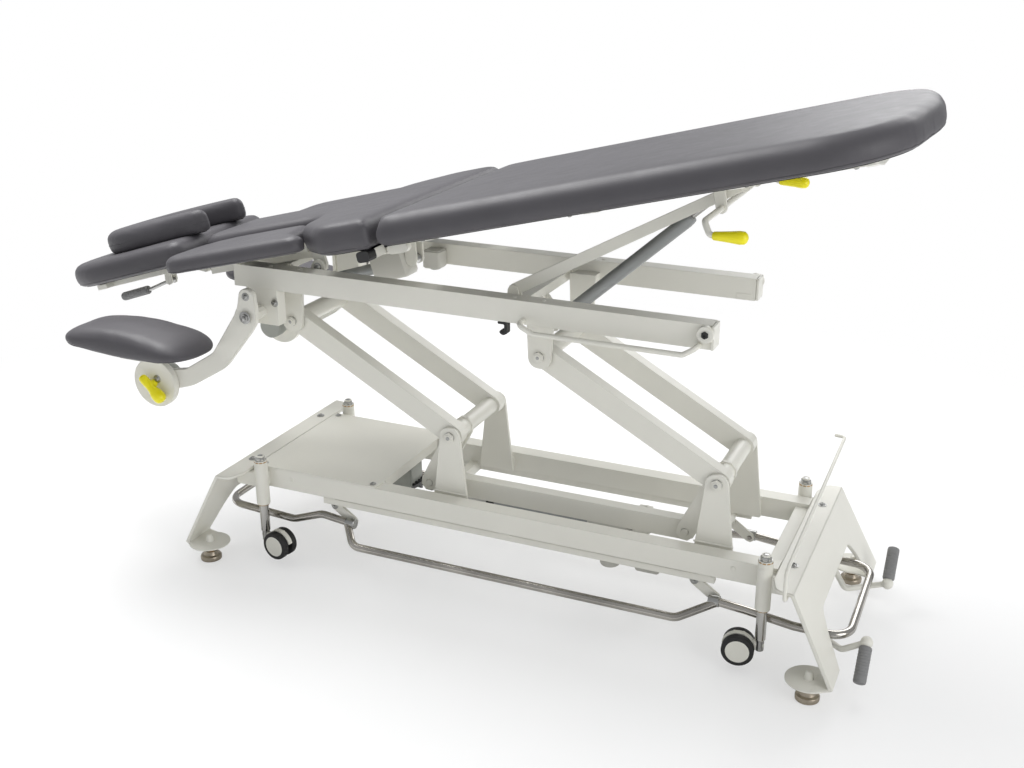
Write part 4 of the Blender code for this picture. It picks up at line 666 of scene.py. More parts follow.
def make_cushions():
    seam = level_x(*HINGE) + 0.004
    half = [(seam + 0.005, -HALF_WIDTH), (LEG_CORNER, -HALF_WIDTH)]
    outline = swept_outline(half + [(LEG_TIP, 0), (LEG_CORNER, HALF_WIDTH), (seam + 0.005, HALF_WIDTH)],
                            [0.01, 0.17, 0.5, 0.17, 0.01], 20)
    cushion("leg_cushion", outline, PAD_LOW, 0.055, "leg", "leg_pad", TOP_PLACE, 0.005, 0.032, 0.016, 0.009)
    neck_end = level_x(*HEAD_ORIGIN) + 0.01
    half = [(seam - 0.005, HALF_WIDTH), (-0.118, HALF_WIDTH), (-0.218, 0.235), (-0.252, 0.11),
            (neck_end, 0.11)]
    radii = [0.01, 0.08, 0.05, 0.05, 0.03]
    outline = swept_outline(mirrored(half, (1, -1)), radii + radii[::-1], 8)
    cushion("thorax_cushion", outline, PAD_LOW, 0.06, "thorax", "thorax_pad", TOP_PLACE, 0.004, 0.02, 0.018,
            0.007)
    corners = [(-0.1265, HALF_WIDTH), (-0.556, HALF_WIDTH), (-0.545, 0.118), (-0.262, 0.118),
               (-0.2325, 0.236)]
    for name, side in SIDES:
        outline = swept_outline([(x, side * y) for x, y in corners], [0.03, 0.06, 0.14, 0.022, 0.05], 10)
        cushion("leaf_cushion_" + name, outline, 0.014, 0.048, "thorax", "leaf_pad_" + name, TOP_PLACE,
                0.006, 0.014, 0.01, 0.006, cap=0.0015)
    low, high = 0.025, 0.08
    end = (HEAD_TIP_X - HEAD_ORIGIN[0] + (high - 0.008) * sin(HEAD_SLOPE)) / cos(HEAD_SLOPE)
    outline = swept_outline([(0, -0.18), (0, 0.18), (end, 0.18), (end, -0.18)],
                            [0.03, 0.03, 0.15, 0.15], 12)
    cushion("head_cushion", outline, low, high, "head_section", "head_pad", HEAD_PLACE, 0.002, 0.022,
            0.018, 0.007)
    outline = face_outline(-0.2, 0.04, 0.12, 0.226)
    cushion("face_ring", outline, 0.0805, 0.1355, "head_section", "face_cushion", HEAD_PLACE, 0.003, 0.02,
            0.012, 0.006, board=0.014, seam_height=0.45)
    outline = swept_outline([(-0.17, -0.08), (0.187, -0.085), (0.187, 0.085), (-0.17, 0.08)],
                            [0.055, 0.075, 0.075, 0.055], 12)
    for name, side in SIDES:
        place = Matrix.Translation((ARM_PAD_X, side * 0.298, HUB[1] + 0.095))
        cushion("arm_cushion_" + name, outline, 0, 0.052, "hub_" + name, "arm_pad_" + name,
                place @ Matrix.Rotation(ARM_PAD_TURN, 4, "Y"), 0.01, 0.024, 0.014, 0.006, board=0.058,
                taper=arm_pad_taper)


make_cushions()


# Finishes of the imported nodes

def finish_nodes():
    finishes = {"lift_rod": CHROME, "pivot_rod": CHROME, "hinge_cover_near": BLACK, "hinge_cover_far": BLACK}
    for name, item in NODES.items():
        material = finishes.get(name, COAT)
        if not item.material_slots:
            item.data.materials.append(material)
        for place in item.material_slots:
            place.material = material


# Base

# Material, number of sides, and profile in millimetres of each level of a post sleeve
SLEEVE_STACK = (
    (COAT, 40, [(146, 14.8), (146.8, 15.9), (244, 15.9), (245, 15)]),
    (COAT, 40, [(245, 15.7), (254, 15.7), (254.6, 15)]),
    (BRONZE, 40, [(254.4, 15.2), (256.2, 15.4), (257.2, 14.8)]),
    (STEEL, 40, [(256.8, 14.2), (259, 14.2), (259.8, 13.5)]),
    (STEEL, 6, [(259.5, 11.8), (266, 11.8), (267.5, 10.4)]),
    (STEEL, 32, [(265.5, 9.5), (268.5, 8.8), (270.5, 6.2), (271.1, 3)]),
    (BRONZE, 40, [(143.6, 13), (144, 14), (146.2, 14)]),
)
# The same for a levelling foot under its disc
FOOT_STACK = (
    (COAT, 48, [(43, 46.5), (43.8, 48), (46.2, 48), (47, 46.5)]),
    (FOOT_STEEL, 40, [(0, 22.5), (1, 24.6), (8.5, 25), (11.5, 23.5), (14, 18), (20, 15.5), (22.5, 15)]),
    (BRONZE, 6, [(22.5, 11), (42.5, 11)]),
    (COAT, 32, [(47, 10), (56, 8.5), (62, 7), (64, 4.5)]),
)
# The same for one wheel, outwards from the fork: tyre, hub and ring
WHEEL_STACK = (
    (TYRE, 56, [(6.6, 26.2), (6.6, 32.5), (8.2, 1000 * WHEEL_R), (19.6, 1000 * WHEEL_R), (21.7, 32.8),
                (22.6, 30), (22.3, 27.5)]),
    (CREAM, 56, [(6.8, 26.8), (21.2, 26.8), (21.6, 26.2), (21.6, 25.6), (22.4, 24.8),
                 (22.8, 20), (23, 11), (23, 3)]),
    (TYRE, 56, [(20.8, 27.4), (22.1, 27.2), (22.2, 26.2), (20.8, 26)]),
)


def stacked(stack, place, way=UP):
    """The turned solids of a stack, round one line."""
    return [(turned(profile, place, way, sides), material) for material, sides, profile in stack]


def end_plate(name, fold_x, out):
    """A sheet folded down from a flange, with two legs on discs and levelling feet."""
    drop, run_x, sheet, flange_run = RAIL_TOP - 0.045, 0.094, 0.008, 0.05
    lean, run = atan2(run_x, drop), hypot(run_x, drop)
    inner_x = fold_x - out * flange_run
    flange = [(fold_x, -0.265), (fold_x, 0.265), (inner_x + out * 0.014, 0.261), (inner_x, POST_Y + 0.024),
              (inner_x, -POST_Y - 0.024), (inner_x + out * 0.014, -0.261)]
    flange = swept_outline(flange, [0.002, 0.002, 0.02, 0.03, 0.03, 0.02])
    top = prism(flange, "z", RAIL_TOP - sheet, RAIL_TOP)
    half = [(0.265, 0), (0.282, run), (0.2, run), (0.172, 0.62 * run), (0.15, 0.44 * run)]
    radii = [0.004, 0.004, 0.004, 0.06, 0.025]
    face = prism(swept_outline(mirrored(half, (-1, 1)), radii + radii[::-1], 8), "x", -sheet, 0)
    turn = Matrix.Rotation(-out * lean, 4, "Y")
    if out < 0:
        turn = turn @ Matrix.Rotation(pi, 4, "Z")
    turned_by(face, Matrix.Translation((fold_x, 0, RAIL_TOP)) @ turn @ Matrix.Rotation(pi, 4, "X"))
    parts = [(eased(top, 0.0012), COAT), (eased(face, 0.0012), COAT)]
    foot_x = fold_x + out * 0.042
    leg_x = fold_x + out * (run_x - 0.006)
    rod_x, toe_x = leg_x - out * 0.002, foot_x + out * 0.012
    for _, side in SIDES:
        parts += stacked(FOOT_STACK, (foot_x, side * 0.255, 0))
        toe = [(leg_x, side * 0.202), (leg_x, side * 0.281), (toe_x, side * 0.3015), (toe_x, side * 0.2085)]
        parts.append((eased(prism(toe, "z", 0.0431, 0.0469), 0.0006), COAT))
        parts.append((cross_rod((rod_x, side * 0.241, 0.0475), 0.04, 0.0046), COAT))
    piece(name + "_dressed", parts, "base", "coat", name)
    screws = []
    for y in (-0.15, 0.15):
        screws += cap_screw((fold_x - out * 0.024, y, RAIL_TOP), UP, 0.0062, 0.004)
    piece(name + "_screws", screws, "base", "steel")


def base_fittings():
    parts = []
    for x in (POST_HEAD_X, POST_FOOT_X):
        for _, side in SIDES:
            parts += stacked(SLEEVE_STACK, (x, side * POST_Y, 0))
    pivots = (HEAD_PIVOT_X, FOOT_PIVOT_X)
    parts += side_row(hex_bolt, pivots, BRACKET_FACE_Y, LOW_PIVOT_Z, (0.008, 0.006))
    parts += side_row(cap_screw, (-0.782, -0.486), 0.163, RAIL_TOP + 0.0033, (0.0048, 0.003), UP)
    parts += side_row(plug_cap, (-0.7, 0.37), 0.177, 0.212, (0.0055,))
    parts += side_row(hex_bolt, (-0.601, 0.283), 0.1505, 0.152, (0.0058, 0.004))
    piece("base_fittings", parts, "base", "steel")

    welds = []
    for x in pivots:
        for _, side in SIDES:
            path = [(x + run, side * 0.1275, RAIL_TOP + 0.0005) for run in (-0.043, -0.015, 0.015, 0.043)]
            welds.append((tube(path, 0.0022, 0.001, 8, 1), COAT))
    piece("bracket_welds", welds, "base", "coat")

    shell = prism(block_outline(-0.532, -0.478, 0.146, 0.206, 0.006), "y", 0, 0.06)
    parts = [(eased(shell, 0.003, 3), MOTOR)]
    for y in (0.01, 0.044):
        parts.append((eased(box(-0.512, -0.492, y, y + 0.006, 0.205, 0.2315), 0.001), MOTOR))
    for step in range(4):
        y = 0.009 + step * 0.014
        parts.append((rod((-0.478, y, 0.16), (-0.47, y, 0.16), 0.0042), BLACK))
    piece("control_unit", parts, "base", "motor", "control_box")


def wires():
    """Leads from the control unit, clipped along a base rail."""
    leads = []
    for step, y in enumerate((0.009, 0.023, 0.037)):
        rail_y = -0.1325 + 0.007 * step
        path = [(-0.47, y, 0.16), (-0.452, y, 0.158), (-0.44, y - 0.03, 0.18), (-0.425, -0.095, 0.205),
                (-0.38, rail_y, 0.207), (-0.2, rail_y, 0.206), (0, rail_y, 0.204), (0.1, rail_y, 0.206)]
        leads.append((tube(path, LEAD_R, 0.02, 10, 5), CABLE))
    for x in (-0.36, -0.18, 0, 0.09):
        leads.append((eased(box(x - 0.003, x + 0.003, -0.1389, -0.114, 0.2005, 0.202), 0.0005), BLACK))
    piece("base_wires", leads, "base", "black")


def castors():
    headings = (("head_near", POST_HEAD_X, -1, -8), ("head_far", POST_HEAD_X, 1, 40),
                ("foot_near", POST_FOOT_X, -1, -172), ("foot_far", POST_FOOT_X, 1, 125))
    hood_r, sheet, half = WHEEL_R + 0.0012, 0.004, 0.006
    hood_arc = (radians(12), radians(160), 24)
    for name, x, side, degrees in headings:
        y = side * POST_Y
        post = turned([(75, 9.8), (75.8, 11), (180, 11)], (x, y, 0), UP, 40)
        piece("post_" + name, [(post, CHROME)], "castor_lift", "chrome", "castor_post_" + name)
        heading = radians(degrees)
        turn = Matrix.Translation((x + CASTOR_TRAIL * cos(heading), y + CASTOR_TRAIL * sin(heading), WHEEL_Z))
        turn = turn @ Matrix.Rotation(heading, 4, "Z")
        web = across((0, 0), (-CASTOR_TRAIL, 0.013), 0.014, 0.0088, -half, half)
        shape = arc((0, 0), hood_r, *hood_arc) + arc((0, 0), hood_r - sheet, *hood_arc)[::-1]
        hood = prism(shape, "y", -half, half)
        stem = box(-0.012, 0.012, -half, half, 0, hood_r - 0.001)
        parts = [(turned_by(bm, turn), CREAM) for bm in (eased(web, 0.0012), eased(hood, 0.0007), stem)]
        collar = turned([(49, 8), (50, 8.8), (74.2, 8.8), (74.7, 8.2)], (x, y, 0), UP)
        piece("fork_" + name, parts + [(collar, STEEL)], "fork_" + name, "black", "castor_fork_" + name)
        parts = stacked(WHEEL_STACK, (0, 0, 0), -ACROSS) + stacked(WHEEL_STACK, (0, 0, 0), ACROSS)
        parts.append((cross_rod((0, 0, 0), 0.0068, 0.004), STEEL))
        for bm, _ in parts:
            turned_by(bm, turn)
        piece("wheels_" + name, parts, "wheels_" + name, "black", "castor_wheels_" + name)


def ribbed_grip(start, end, radius, ribs):
    """A moulded rubber grip with a rounded end and shallow rings."""
    start, end = Vector(start), Vector(end)
    length = (end - start).length
    profile = [(0, radius * 0.8), (0.0015, radius * 0.94), (0.004, radius)]
    for step in range(ribs):
        base = 0.008 + (length - 0.022) * step / ribs
        profile += [(base, radius), (base + 0.0012, radius * 0.93), (base + 0.0024, radius)]
    profile += [(length - 0.006, radius), (length - 0.0025, radius * 0.9), (length - 0.0008, radius * 0.62),
                (length, radius * 0.25)]
    return spun(profile, start, end - start)


def pedals():
    knob = [(-12.5, 4), (-10, 8.5), (-5, 12), (0, 12.8), (5, 12), (10, 8.5), (12.5, 4)]
    for name, side, low, high in (("near", -1, 0.065, 0.094), ("far", 1, 0.048, 0.066)):
        y, out_y = side * 0.12, side * 0.154
        joint = Vector((0.648, out_y, high))
        path = [(0.462, y, 0.163), (0.5, y, 0.15), (0.56, y + side * 0.004, low), (0.6, out_y, low), joint]
        way = Vector((0, side, side)) * 0.707
        grip = ribbed_grip(joint + way * 0.009, joint + way * 0.0865, 0.0133, 9)
        parts = [(tube(path, 0.0065, 0.018), COAT), (cross_rod(path[0], 0.0095, 0.0085), COAT),
                 (turned(knob, joint, way), COAT), (grip, RUBBER)]
        piece("pedal_" + name, parts, "pedal_" + name, "coat", "castor_pedal_" + name)


def control_loop():
    """The round-bar foot frame near the floor."""
    head, foot = (-0.553, 0.119), (0.331, 0.119)
    y_in, y_out, low_z = 0.16, 0.205, 0.086
    parts = []
    for _, side in SIDES:
        path = [(head[0] - 0.01, side * y_in, head[1]), (head[0] + 0.03, side * y_out, low_z),
                (foot[0] - 0.07, side * y_out, low_z), (foot[0] + 0.01, side * y_in, foot[1])]
        parts.append((tube(path, CONTROL_R, 0.035), BAR))
        for x, z in (head, foot):
            parts.append((rod((x, side * 0.1415, z), (x, side * y_in, z), 0.005), BAR))
            clamp = turned([(-12, 11.2), (-11.2, 12), (11.2, 12), (12, 11.2)],
                         (x, side * y_in, z), (1, 0, 0))
            parts.append((clamp, STEEL))
    for loop in ((head, (-0.632, 0.128), (-0.712, 0.099), (-0.905, 0.11)),
                 (foot, (0.4, 0.112), (0.5, 0.099), (0.612, 0.097))):
        path = [(x, -y_in, z) for x, z in loop] + [(x, y_in, z) for x, z in reversed(loop)]
        parts.append((tube(path, CONTROL_R, 0.045), BAR))
    piece("foot_control", parts, "control", "chrome", "control_frame")


def roll_holder():
    x, low, out_y = 0.498, RAIL_TOP - 0.008 - SEAT - 0.004, -0.278
    path = [(x, out_y + 0.07, low), (x, out_y, low), (x, out_y, 0.285), (x, out_y + 0.05, 0.29),
            (x, 0.345, 0.322), (x - 0.024, 0.349, 0.322)]
    piece("roll_bar", [(tube(path, 0.004, 0.01, 16, 6), COAT)], "base", "coat", "paper_roll_holder")


# Lift

ARM_REACH = Vector((-ARM_LENGTH * cos(ARM_ANGLE), 0, ARM_LENGTH * sin(ARM_ANGLE)))


def lift_parts():
    for name, x in (("head_arm", HEAD_PIVOT_X), ("foot_arm", FOOT_PIVOT_X)):
        low = Vector((x, 0, LOW_PIVOT_Z))
        parts = [(cross_rod(centre, 0.0866, 0.0199, 40), COAT) for centre in (low, low + ARM_REACH)]
        piece(name + "_tubes", parts, name, "coat")
    y, z = -0.025, 0.18
    housing = prism(block_outline(y - 0.026, y + 0.026, z - 0.026, z + 0.022, 0.008), "x", 0, 0.098)
    case = prism(block_outline(0.118, 0.176, 0.088, 0.15, 0.008), "y", y - 0.03, y + 0.024)
    drum = [(76, 19), (77.5, 21.5), (81, 23.5), (156, 23.5)]
    parts = [(rod((-0.255, y, z), (0.01, y, z), 0.0145), TUBE_GREY),
             (turned([(0, 17), (18, 17), (19, 15)], (-0.256, y, z), (1, 0, 0)), BLACK),
             (eased(housing, 0.003, 3), PALE_BOX), (turned(drum, (0.05, y, 0), UP, 40), PALE_BOX),
             (eased(case, 0.003, 3), PALE_BOX),
             (box(0.06, 0.122, y - 0.008, y + 0.008, 0.11, 0.135), PALE_BOX),
             (rod((0.09, y, z), (0.125, y, z), 0.0075), STEEL),
             (cross_rod((0.125, y, z), 0.0075, 0.013), STEEL)]
    piece("lift_drive", parts, "lift_motor_body", "motor", "lift_motor")
    parts = [(rod((-0.321, y, z), (-0.03, y, z), 0.01), CHROME),
             (rod((-0.345, y, z), (-0.315, y, z), 0.0072), CHROME),
             (cross_rod((-0.345, y, z), 0.0078, 0.012), STEEL)]
    piece("lift_drive_rod", parts, "lift_rod_body", "chrome", "lift_rod")


# Upper frame

def upper_rails():
    """The upper frame with its rails free at the foot end, as in the photograph."""
    source = NODES["upper_frame"]
    mesh = source.data.copy()
    mesh.transform(source.matrix_world)
    item = add_object("upper_rails", mesh)
    block = box(UPPER_FOOT_X - 0.044, UPPER_FOOT_X - 0.008, -RAIL_INNER, RAIL_INNER, UPPER_LOW - 0.002,
                UPPER_LOW + 0.016)
    cutter = add_object("cutter", mesh_from("cutter", turned_by(block, SHIFT)))
    cut = item.modifiers.new("cut", "BOOLEAN")
    cut.operation = "DIFFERENCE"
    cut.solver = "EXACT"
    cut.object = cutter
    bake(item)
    bpy.data.objects.remove(cutter)
    item.data.materials.clear()
    item.data.materials.append(COAT)
    item.data.shade_flat()
    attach(item, "upper")
    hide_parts("upper_frame")


def upper_fittings():
    pivots = [x + ARM_REACH.x for x in (HEAD_PIVOT_X, FOOT_PIVOT_X)]
    parts = side_row(hex_bolt, pivots, BRACKET_FACE_Y, LOW_PIVOT_Z + ARM_REACH.z, (0.0078, 0.005))
    parts += side_row(plug_cap, (-0.715, -0.64, -0.12, -0.055), 0.1783, UPPER_TOP, (0.0055,), UP)
    parts += side_row(cap_screw, (-0.762, -0.698), UPPER_OUT - 0.0005, UPPER_LOW - 0.03, (0.0056, 0.004))
    piece("upper_fittings", parts, "upper", "steel")
    for name, side in SIDES:
        y = side * (UPPER_OUT + SEAT)
        centre, way = (UPPER_FOOT_X - 0.01, y, UPPER_TOP - 0.0175), (0, side, 0)
        outline = block_outline(side * 0.159, side * (UPPER_OUT + 0.006), UPPER_LOW, UPPER_TOP, 0.004, 4)
        cap = prism(outline, "x", UPPER_FOOT_X + SEAT, UPPER_FOOT_X + 0.006)
        nut = [(12.1, 7.8), (15, 7.8), (16.5, 6.4), (16.5, 3.4), (14, 3.2)]
        parts = [(turned([(0, 17.5), (10.5, 17.5), (12, 16)], centre, way, 40), COAT),
                 (eased(cap, 0.001), COAT), (turned(nut, centre, way, 6), BLACK)]
        piece("bumper_" + name, parts, "upper", "coat", "rail_bumper_" + name)
        out, low, high = side * (UPPER_OUT + 0.0275), UPPER_LOW - 0.008, UPPER_LOW + 0.008
        path = [(-0.092, y, high), (-0.092, out, high), (-0.06, out, low), (0.255, out, low),
                (0.28, out, high), (0.28, y, high)]
        piece("roll_rail_" + name, [(tube(path, 0.0055, 0.012), COAT)], "upper", "coat", "sheet_rail_" + name)
    x, inner = -0.47, 0.159
    shell = prism(block_outline(x - 0.022, x + 0.022, inner - 0.044, inner - SEAT, 0.005), "z",
                  UPPER_LOW - 0.004, UPPER_LOW + 0.04)
    button = turned([(0, 10), (1, 11.8), (5, 12)], (x, inner - 0.022, UPPER_LOW - 0.0088), UP)
    parts = [(eased(shell, 0.003, 3), PALE_BOX), (button, MOTOR)]
    piece("socket_box", parts, "upper", "motor", "junction_box")
    hook = [(0, 0), (0.02, 0), (0.02, -0.026), (0.012, -0.03), (0.004, -0.026), (0.004, -0.02),
            (0.009, -0.02), (0.012, -0.0225), (0.0145, -0.02), (0.0145, -0.006), (0, -0.006)]
    clip = prism([(-0.15 + a, UPPER_LOW - 0.0004 + b) for a, b in hook], "y", -0.197, -0.176)
    piece("lead_hook", [(eased(clip, 0.0012), BLACK)], "upper", "black")


# Top

def top_screws():
    up = Matrix.Rotation(-TILT, 4, "Y") @ UP
    parts = []
    for x in (-0.3, 0.02, 0.36, 0.55):
        for _, side in SIDES:
            z = TOP_ORIGIN[1] + (x - TOP_ORIGIN[0]) * tan(TILT)
            parts += cap_screw(Vector((x, side * 0.236, z)) - up * 0.0107, -up, 0.0045, 0.003)
    piece("leg_frame_screws", parts, "leg", "steel")
    parts = side_row(cap_screw, (-0.61,), 0.1512, 0.737, (0.0062, 0.0045))
    piece("thorax_screws", parts, "thorax", "steel")


def tilt_drive():
    start, end = Vector((-0.42, -0.05, 0.752)), Vector((-0.722, -0.05, 0.652))
    way = (end - start).normalized()
    normal = Vector((-way.z, 0, way.x))
    rings = []
    for along, half, high in ((0.012, 0.014, 0.02), (0.015, 0.023, 0.028), (0.02, 0.027, 0.032),
                              (0.096, 0.027, 0.032), (0.102, 0.024, 0.028), (0.105, 0.016, 0.02)):
        corners = block_outline(-half, half, -high, high, 0.006, 4)
        rings.append([start + way * along + ACROSS * a + normal * b for a, b in corners])
    drum = [(0, 20), (48, 20), (56, 18.5), (60, 14)]
    parts = [(from_rings(rings), PALE_BOX), (rod(start, start + way * 0.03, 0.0085), STEEL),
             (cross_rod(start, 0.0115, 0.011), STEEL),
             (rod(start + way * 0.095, start + way * 0.235, 0.013), TUBE_GREY),
             (turned(drum, start + way * 0.06, ACROSS, 40), PALE_BOX)]
    piece("tilt_drive", parts, "pivot_motor_body", "motor", "pivot_motor")
    parts = [(rod(start + way * 0.15, end, 0.008), CHROME), (cross_rod(end, 0.009, 0.0115), STEEL)]
    piece("tilt_drive_rod", parts, "pivot_rod_body", "chrome", "pivot_rod")


def gas_spring():
    low, high = Vector((-0.1, 0, 0.63)), Vector((0.28, 0, 0.968))
    way = (high - low).normalized()
    barrel = [(22, 13), (23.5, 14.5), (386, 14.5), (390, 13.8), (393, 13.8), (400, 12)]
    parts = [(turned(barrel, low, way, 40), TUBE_GREY), (rod(low, low + way * 0.03, 0.007), STEEL),
             (cross_rod(low, 0.009, 0.012), STEEL)]
    piece("spring_tube", parts, "gas_cylinder_body", "steel", "gas_cylinder")
    parts = [(rod(low + way * 0.24, high, 0.0055), CHROME), (cross_rod(high, 0.0085, 0.01), STEEL)]
    piece("spring_rod", parts, "gas_rod_body", "chrome", "gas_rod")


def release_bar():
    y, tip_x, tip_z, grip_x, grip_z = 0.272, 0.374, 0.93, 0.295, 0.951
    half = [(tip_x, tip_z, y), (grip_x + 0.014, grip_z - 0.022, y), (grip_x, grip_z, y - 0.012)]
    path = [(a, -b, z) for a, z, b in half] + [(a, b, z) for a, z, b in reversed(half)]
    parts = [(tube(path, 0.006, 0.012), COAT)]
    for _, side in SIDES:
        start = Vector((grip_x + 0.02, side * y, grip_z - 0.0225))
        way = Vector((tip_x, side * y, tip_z)) - start
        length = way.length + 0.0065
        profile = [(0, 0.0062), (0.002, 0.008), (length * 0.2, 0.0088), (length * 0.5, 0.0106),
                   (length * 0.76, 0.0126), (length * 0.9, 0.0118), (length * 0.97, 0.0078), (length, 0.003)]
        parts.append((spun(profile, start, way, 36), YELLOW))
    piece("release_bar", parts, "handle", "yellow", "release_handle")


def leg_support():
    """The frame under the leg cushion: flat side rails, deeper cross members and the linkage lugs."""
    start, end, rail_y, half = 0.024, 0.99, 0.236, 0.015
    low, high, thin = -0.028, -0.003, -0.0105
    hinge_x, hinge_z = 0.006, -0.017
    solids = []
    for _, side in SIDES:
        y0, y1 = sorted((side * (rail_y - half), side * (rail_y + half)))
        solids.append(eased(prism(block_outline(start, end, y0, y1, 0.01, 4), "z", thin, high), 0.001))
        solids.append(across((start + 0.01, hinge_z), (hinge_x, hinge_z), 0.011, 0.011, side * 0.2405,
                             side * 0.2565))
        solids.append(cross_rod((hinge_x, side * 0.235, hinge_z), 0.017, 0.005))
        solids.append(eased(side_box(0.42, 0.721, side, 0.06, 0.08, low + 0.005, high - 0.003), 0.001))
        lug = across((0.671, -0.0588), (0.673, -0.018), 0.011, 0.012, side * 0.136, side * 0.144)
        solids.append(eased(lug, 0.001))
        solids.append(eased(side_box(0.659, 0.731, side, 0.131, 0.149, low + 0.004, high - 0.002), 0.001))
    for x, wide in ((start + 0.016, 0.015), (0.42, 0.015), (0.717, 0.016), (end - 0.02, 0.015)):
        shape = mirrored([(rail_y, high - 0.001), (rail_y, thin), (0.165, low + 0.003)], (-1, 1))
        solids.append(eased(prism(shape, "x", x - wide, x + wide), 0.001))
    for edge in (-1, 1):
        y = -0.12 + edge * 0.0048
        solids.append(across((0.721, -0.0241), (0.721, -0.015), 0.013, 0.009, y, y + edge * 0.005))
        y = edge * 0.0095
        solids.append(across((0.661, -0.0388), (0.663, -0.015), 0.012, 0.008, y, y + edge * 0.005))
    solids.append(cross_rod((0.721, -0.12, -0.0241), 0.01, 0.005))
    solids.append(cross_rod((0.661, 0, -0.0388), 0.012, 0.004))
    solids.append(box(0.647, 0.675, -0.075, 0.075, low + 0.012, high - 0.002))
    piece("leg_support", [(turned_by(bm, TOP_PLACE), COAT) for bm in solids], "leg", "coat", "leg_frame")


def head_release():
    x, y, z = -0.105, -0.11, -0.008
    path = [(x, y, z), (x - 0.03, y, z - 0.004), (x - 0.07, y, z - 0.01), (x - 0.125, y, z - 0.012)]
    grip = ribbed_grip((x - 0.078, y, z - 0.0101), (x - 0.165, y, z - 0.013), 0.0105, 8)
    parts = [(tube(path, 0.0045, 0.03), STEEL), (cross_rod((x, y, z), 0.0058, 0.0085), STEEL), (grip, RUBBER)]
    parts = [(turned_by(bm, HEAD_PLACE), material) for bm, material in parts]
    piece("head_release", parts, "head_lever_body", "black", "head_lever")


# Armrests

# Shares of a clamp lever's length, and of its full radius there
LEVER_SHAPE = ((0, 0.25), (0.02, 0.5), (0.07, 0.66), (0.2, 0.7), (0.38, 0.64), (0.52, 0.7), (0.66, 0.92),
               (0.78, 1), (0.88, 0.96), (0.95, 0.76), (0.985, 0.5), (1, 0.2))
LEVER_R = 0.015


def clutch_profile():
    """A ribbed drum: its radius drops between the ribs."""
    profile = [(0, 0.03), (0.006, 0.031)]
    for ring in range(4):
        base = 0.008 + ring * 0.006
        profile += [(base, 0.031), (base + 0.002, 0.0285), (base + 0.004, 0.0285)]
    return profile + [(0.034, 0.031), (0.036, 0.029)]


def armrests():
    (hub_x, hub_z), (bolt_x, bolt_z) = HUB, ARM_BOLT
    line = [(bolt_x + 0.002, bolt_z + 0.045), ARM_BOLT, (-0.826, 0.516), (-0.915, 0.462), HUB]
    outline = banded_outline(line, (0.02, 0.028, 0.022, 0.021, 0.026))
    for name, side in SIDES:
        way = Vector((0, side, 0))
        face = side * (ARMREST_Y + ARMREST_HALF)
        bar_plate = prism(outline, "y", *sorted((side * (ARMREST_Y - ARMREST_HALF), face)))
        shaft = rod((hub_x, side * ARMREST_Y, hub_z), (hub_x, face + side * 0.0165, hub_z), 0.008)
        parts = [(eased(bar_plate, 0.0014), COAT), (shaft, STEEL)]
        parts += cap_screw((bolt_x + 0.002, face, bolt_z + 0.047), way, 0.006, 0.0045)
        inner = (hub_x, side * (ARMREST_Y - ARMREST_HALF - 0.0002), hub_z)
        parts.append((spun(clutch_profile(), inner, -way, 48), MOTOR))
        piece("armrest_bar_" + name, parts, "arm_" + name, "coat", "armrest_arm_" + name)
        parts = hex_bolt((bolt_x, side * (ARMREST_Y + 0.0122), bolt_z), way, 0.0095, 0.006)
        piece("armrest_bolt_" + name, parts, "upper", "steel")
        depth = ARMREST_Y + ARMREST_HALF + 0.0006
        top = hub_z + 0.078
        disc = turned([(0, 57.8), (1, 58.8), (15, 58.8), (16, 57.8)],
                    (hub_x, side * depth, hub_z), way, 64)
        ledge = side_box(hub_x - 0.034, hub_x + 0.034, side, depth + 0.002, 0.33, top, top + 0.006)
        web = side_box(hub_x - 0.028, hub_x + 0.028, side, depth + 0.002, depth + 0.014, hub_z + 0.02,
                       top + 0.004)
        board = side_box(hub_x - 0.04, hub_x + 0.04, side, 0.268, 0.33, top + 0.0062, top + 0.026)
        parts = [(disc, COAT), (eased(ledge, 0.001), COAT), (web, COAT)]
        parts += cap_screw((hub_x + 0.009, side * (depth + 0.016), hub_z + 0.011), way, 0.0065, 0.004)
        parts.append((eased(board, 0.002), DUST_CLOTH))
        piece("armrest_plate_" + name, parts, "hub_" + name, "coat", "armrest_hub_" + name)
        outer = side * (depth + 0.0166)
        start = Vector((hub_x - 0.022, outer + side * 0.017, hub_z + 0.02))
        run = Vector((0.057, 0, -0.055))
        boss = turned([(0, 9.2), (1, 10), (16, 9.2)], (hub_x, outer, hub_z), way, 40)
        grip = spun([(share * run.length, width * LEVER_R) for share, width in LEVER_SHAPE], start, run, 36)
        piece("armrest_lever_" + name, [(boss, YELLOW), (grip, YELLOW)], "clamp_" + name, "yellow",
              "armrest_clamp_" + name)


# Studio

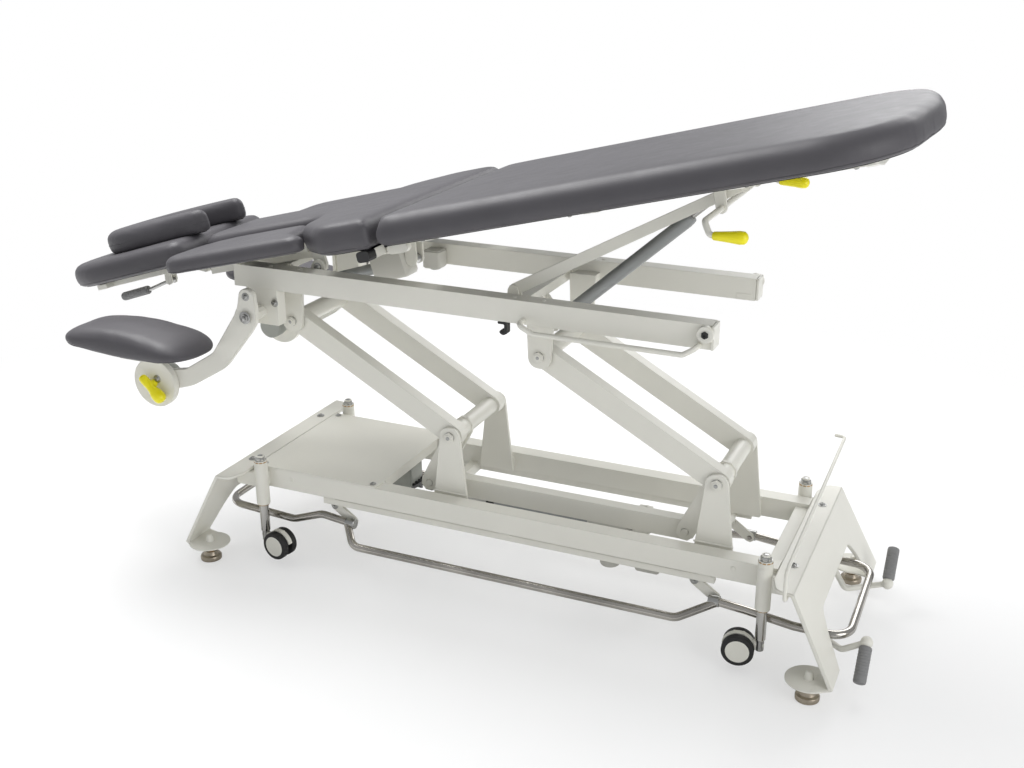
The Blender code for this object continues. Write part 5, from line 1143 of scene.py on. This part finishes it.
def floor():
    """Paper that glows white for the camera further from the table."""
    slab = box(-FLOOR_HALF, FLOOR_HALF, -FLOOR_HALF, FLOOR_HALF, -0.02, -0.0005)
    item = add_object("floor", mesh_from("floor", slab))
    material = bpy.data.materials.new("floor_paper")
    tree = node_tree(material)
    shader = tree.nodes["Principled BSDF"]
    set_values(shader, {"Base Color": (0.93, 0.93, 0.93, 1), "Roughness": 0.85})
    glow = add_node(tree, "Emission", Color=(1, 1, 1, 1))
    mix = add_node(tree, "MixShader")
    rays = add_node(tree, "LightPath")
    place = add_node(tree, "TexCoord")
    length = add_node(tree, "VectorMath")
    length.operation = "LENGTH"
    fade = add_node(tree, "MapRange", From_Min=FLOOR_FADE[0], From_Max=FLOOR_FADE[1], To_Min=FLOOR_GLOW)
    fade.interpolation_type = "SMOOTHSTEP"
    both = add_node(tree, "Math")
    both.operation = "MULTIPLY"
    join(tree, (place, "Object", length, 0), (length, "Value", fade, "Value"), (fade, "Result", both, 0),
         (rays, "Is Camera Ray", both, 1), (both, "Value", mix, "Fac"), (shader, "BSDF", mix, 1),
         (glow, "Emission", mix, 2), (mix, "Shader", tree.nodes["Material Output"], "Surface"))
    item.data.materials.append(material)


def surroundings():
    """A soft light from all round, shown white to the camera."""
    world = bpy.data.worlds.new("studio")
    bpy.context.scene.world = world
    tree = node_tree(world)
    dim = tree.nodes["Background"]
    set_values(dim, {"Color": (0.97, 0.985, 1, 1), "Strength": WORLD_STRENGTH})
    white = add_node(tree, "Background", Color=(1, 1, 1, 1), Strength=1)
    mix = add_node(tree, "MixShader")
    rays = add_node(tree, "LightPath")
    join(tree, (rays, "Is Camera Ray", mix, "Fac"), (dim, "Background", mix, 1),
         (white, "Background", mix, 2), (mix, "Shader", tree.nodes["World Output"], "Surface"))


def lamps():
    for name, at, toward, size, power in LAMPS:
        light = bpy.data.lights.new(name, "AREA")
        light.shape = "DISK"
        light.size = size
        light.energy = power
        lamp = add_object(name, light)
        lamp.location = at
        lamp.rotation_euler = (Vector(toward) - Vector(at)).to_track_quat("-Z", "Y").to_euler()


def camera():
    data = bpy.data.cameras.new("camera")
    item = add_object("camera", data)
    data.sensor_width = SENSOR
    data.lens = FOCAL_PIXELS / FRAME_SIZE[0] * SENSOR
    data.shift_x = (FRAME_SIZE[0] / 2 - FRAME_CENTRE[0]) / FRAME_SIZE[0]
    data.shift_y = (FRAME_CENTRE[1] - FRAME_SIZE[1] / 2) / FRAME_SIZE[0]
    turn = Matrix.Rotation(CAMERA_YAW, 4, "Z") @ Matrix.Rotation(pi / 2 + CAMERA_PITCH, 4, "X")
    item.matrix_world = Matrix.Translation(CAMERA_PLACE) @ turn @ Matrix.Rotation(CAMERA_ROLL, 4, "Z")
    bpy.context.scene.camera = item
    bpy.context.scene.view_settings.view_transform = "Standard"


finish_nodes()
end_plate("head_end_plate", HEAD_FOLD_X, -1)
end_plate("foot_end_plate", FOOT_FOLD_X, 1)
for build in (base_fittings, wires, castors, pedals, control_loop, roll_holder, lift_parts, upper_rails,
              upper_fittings, top_screws, tilt_drive, gas_spring, release_bar, leg_support, head_release,
              armrests, floor, surroundings, lamps, camera):
    build()
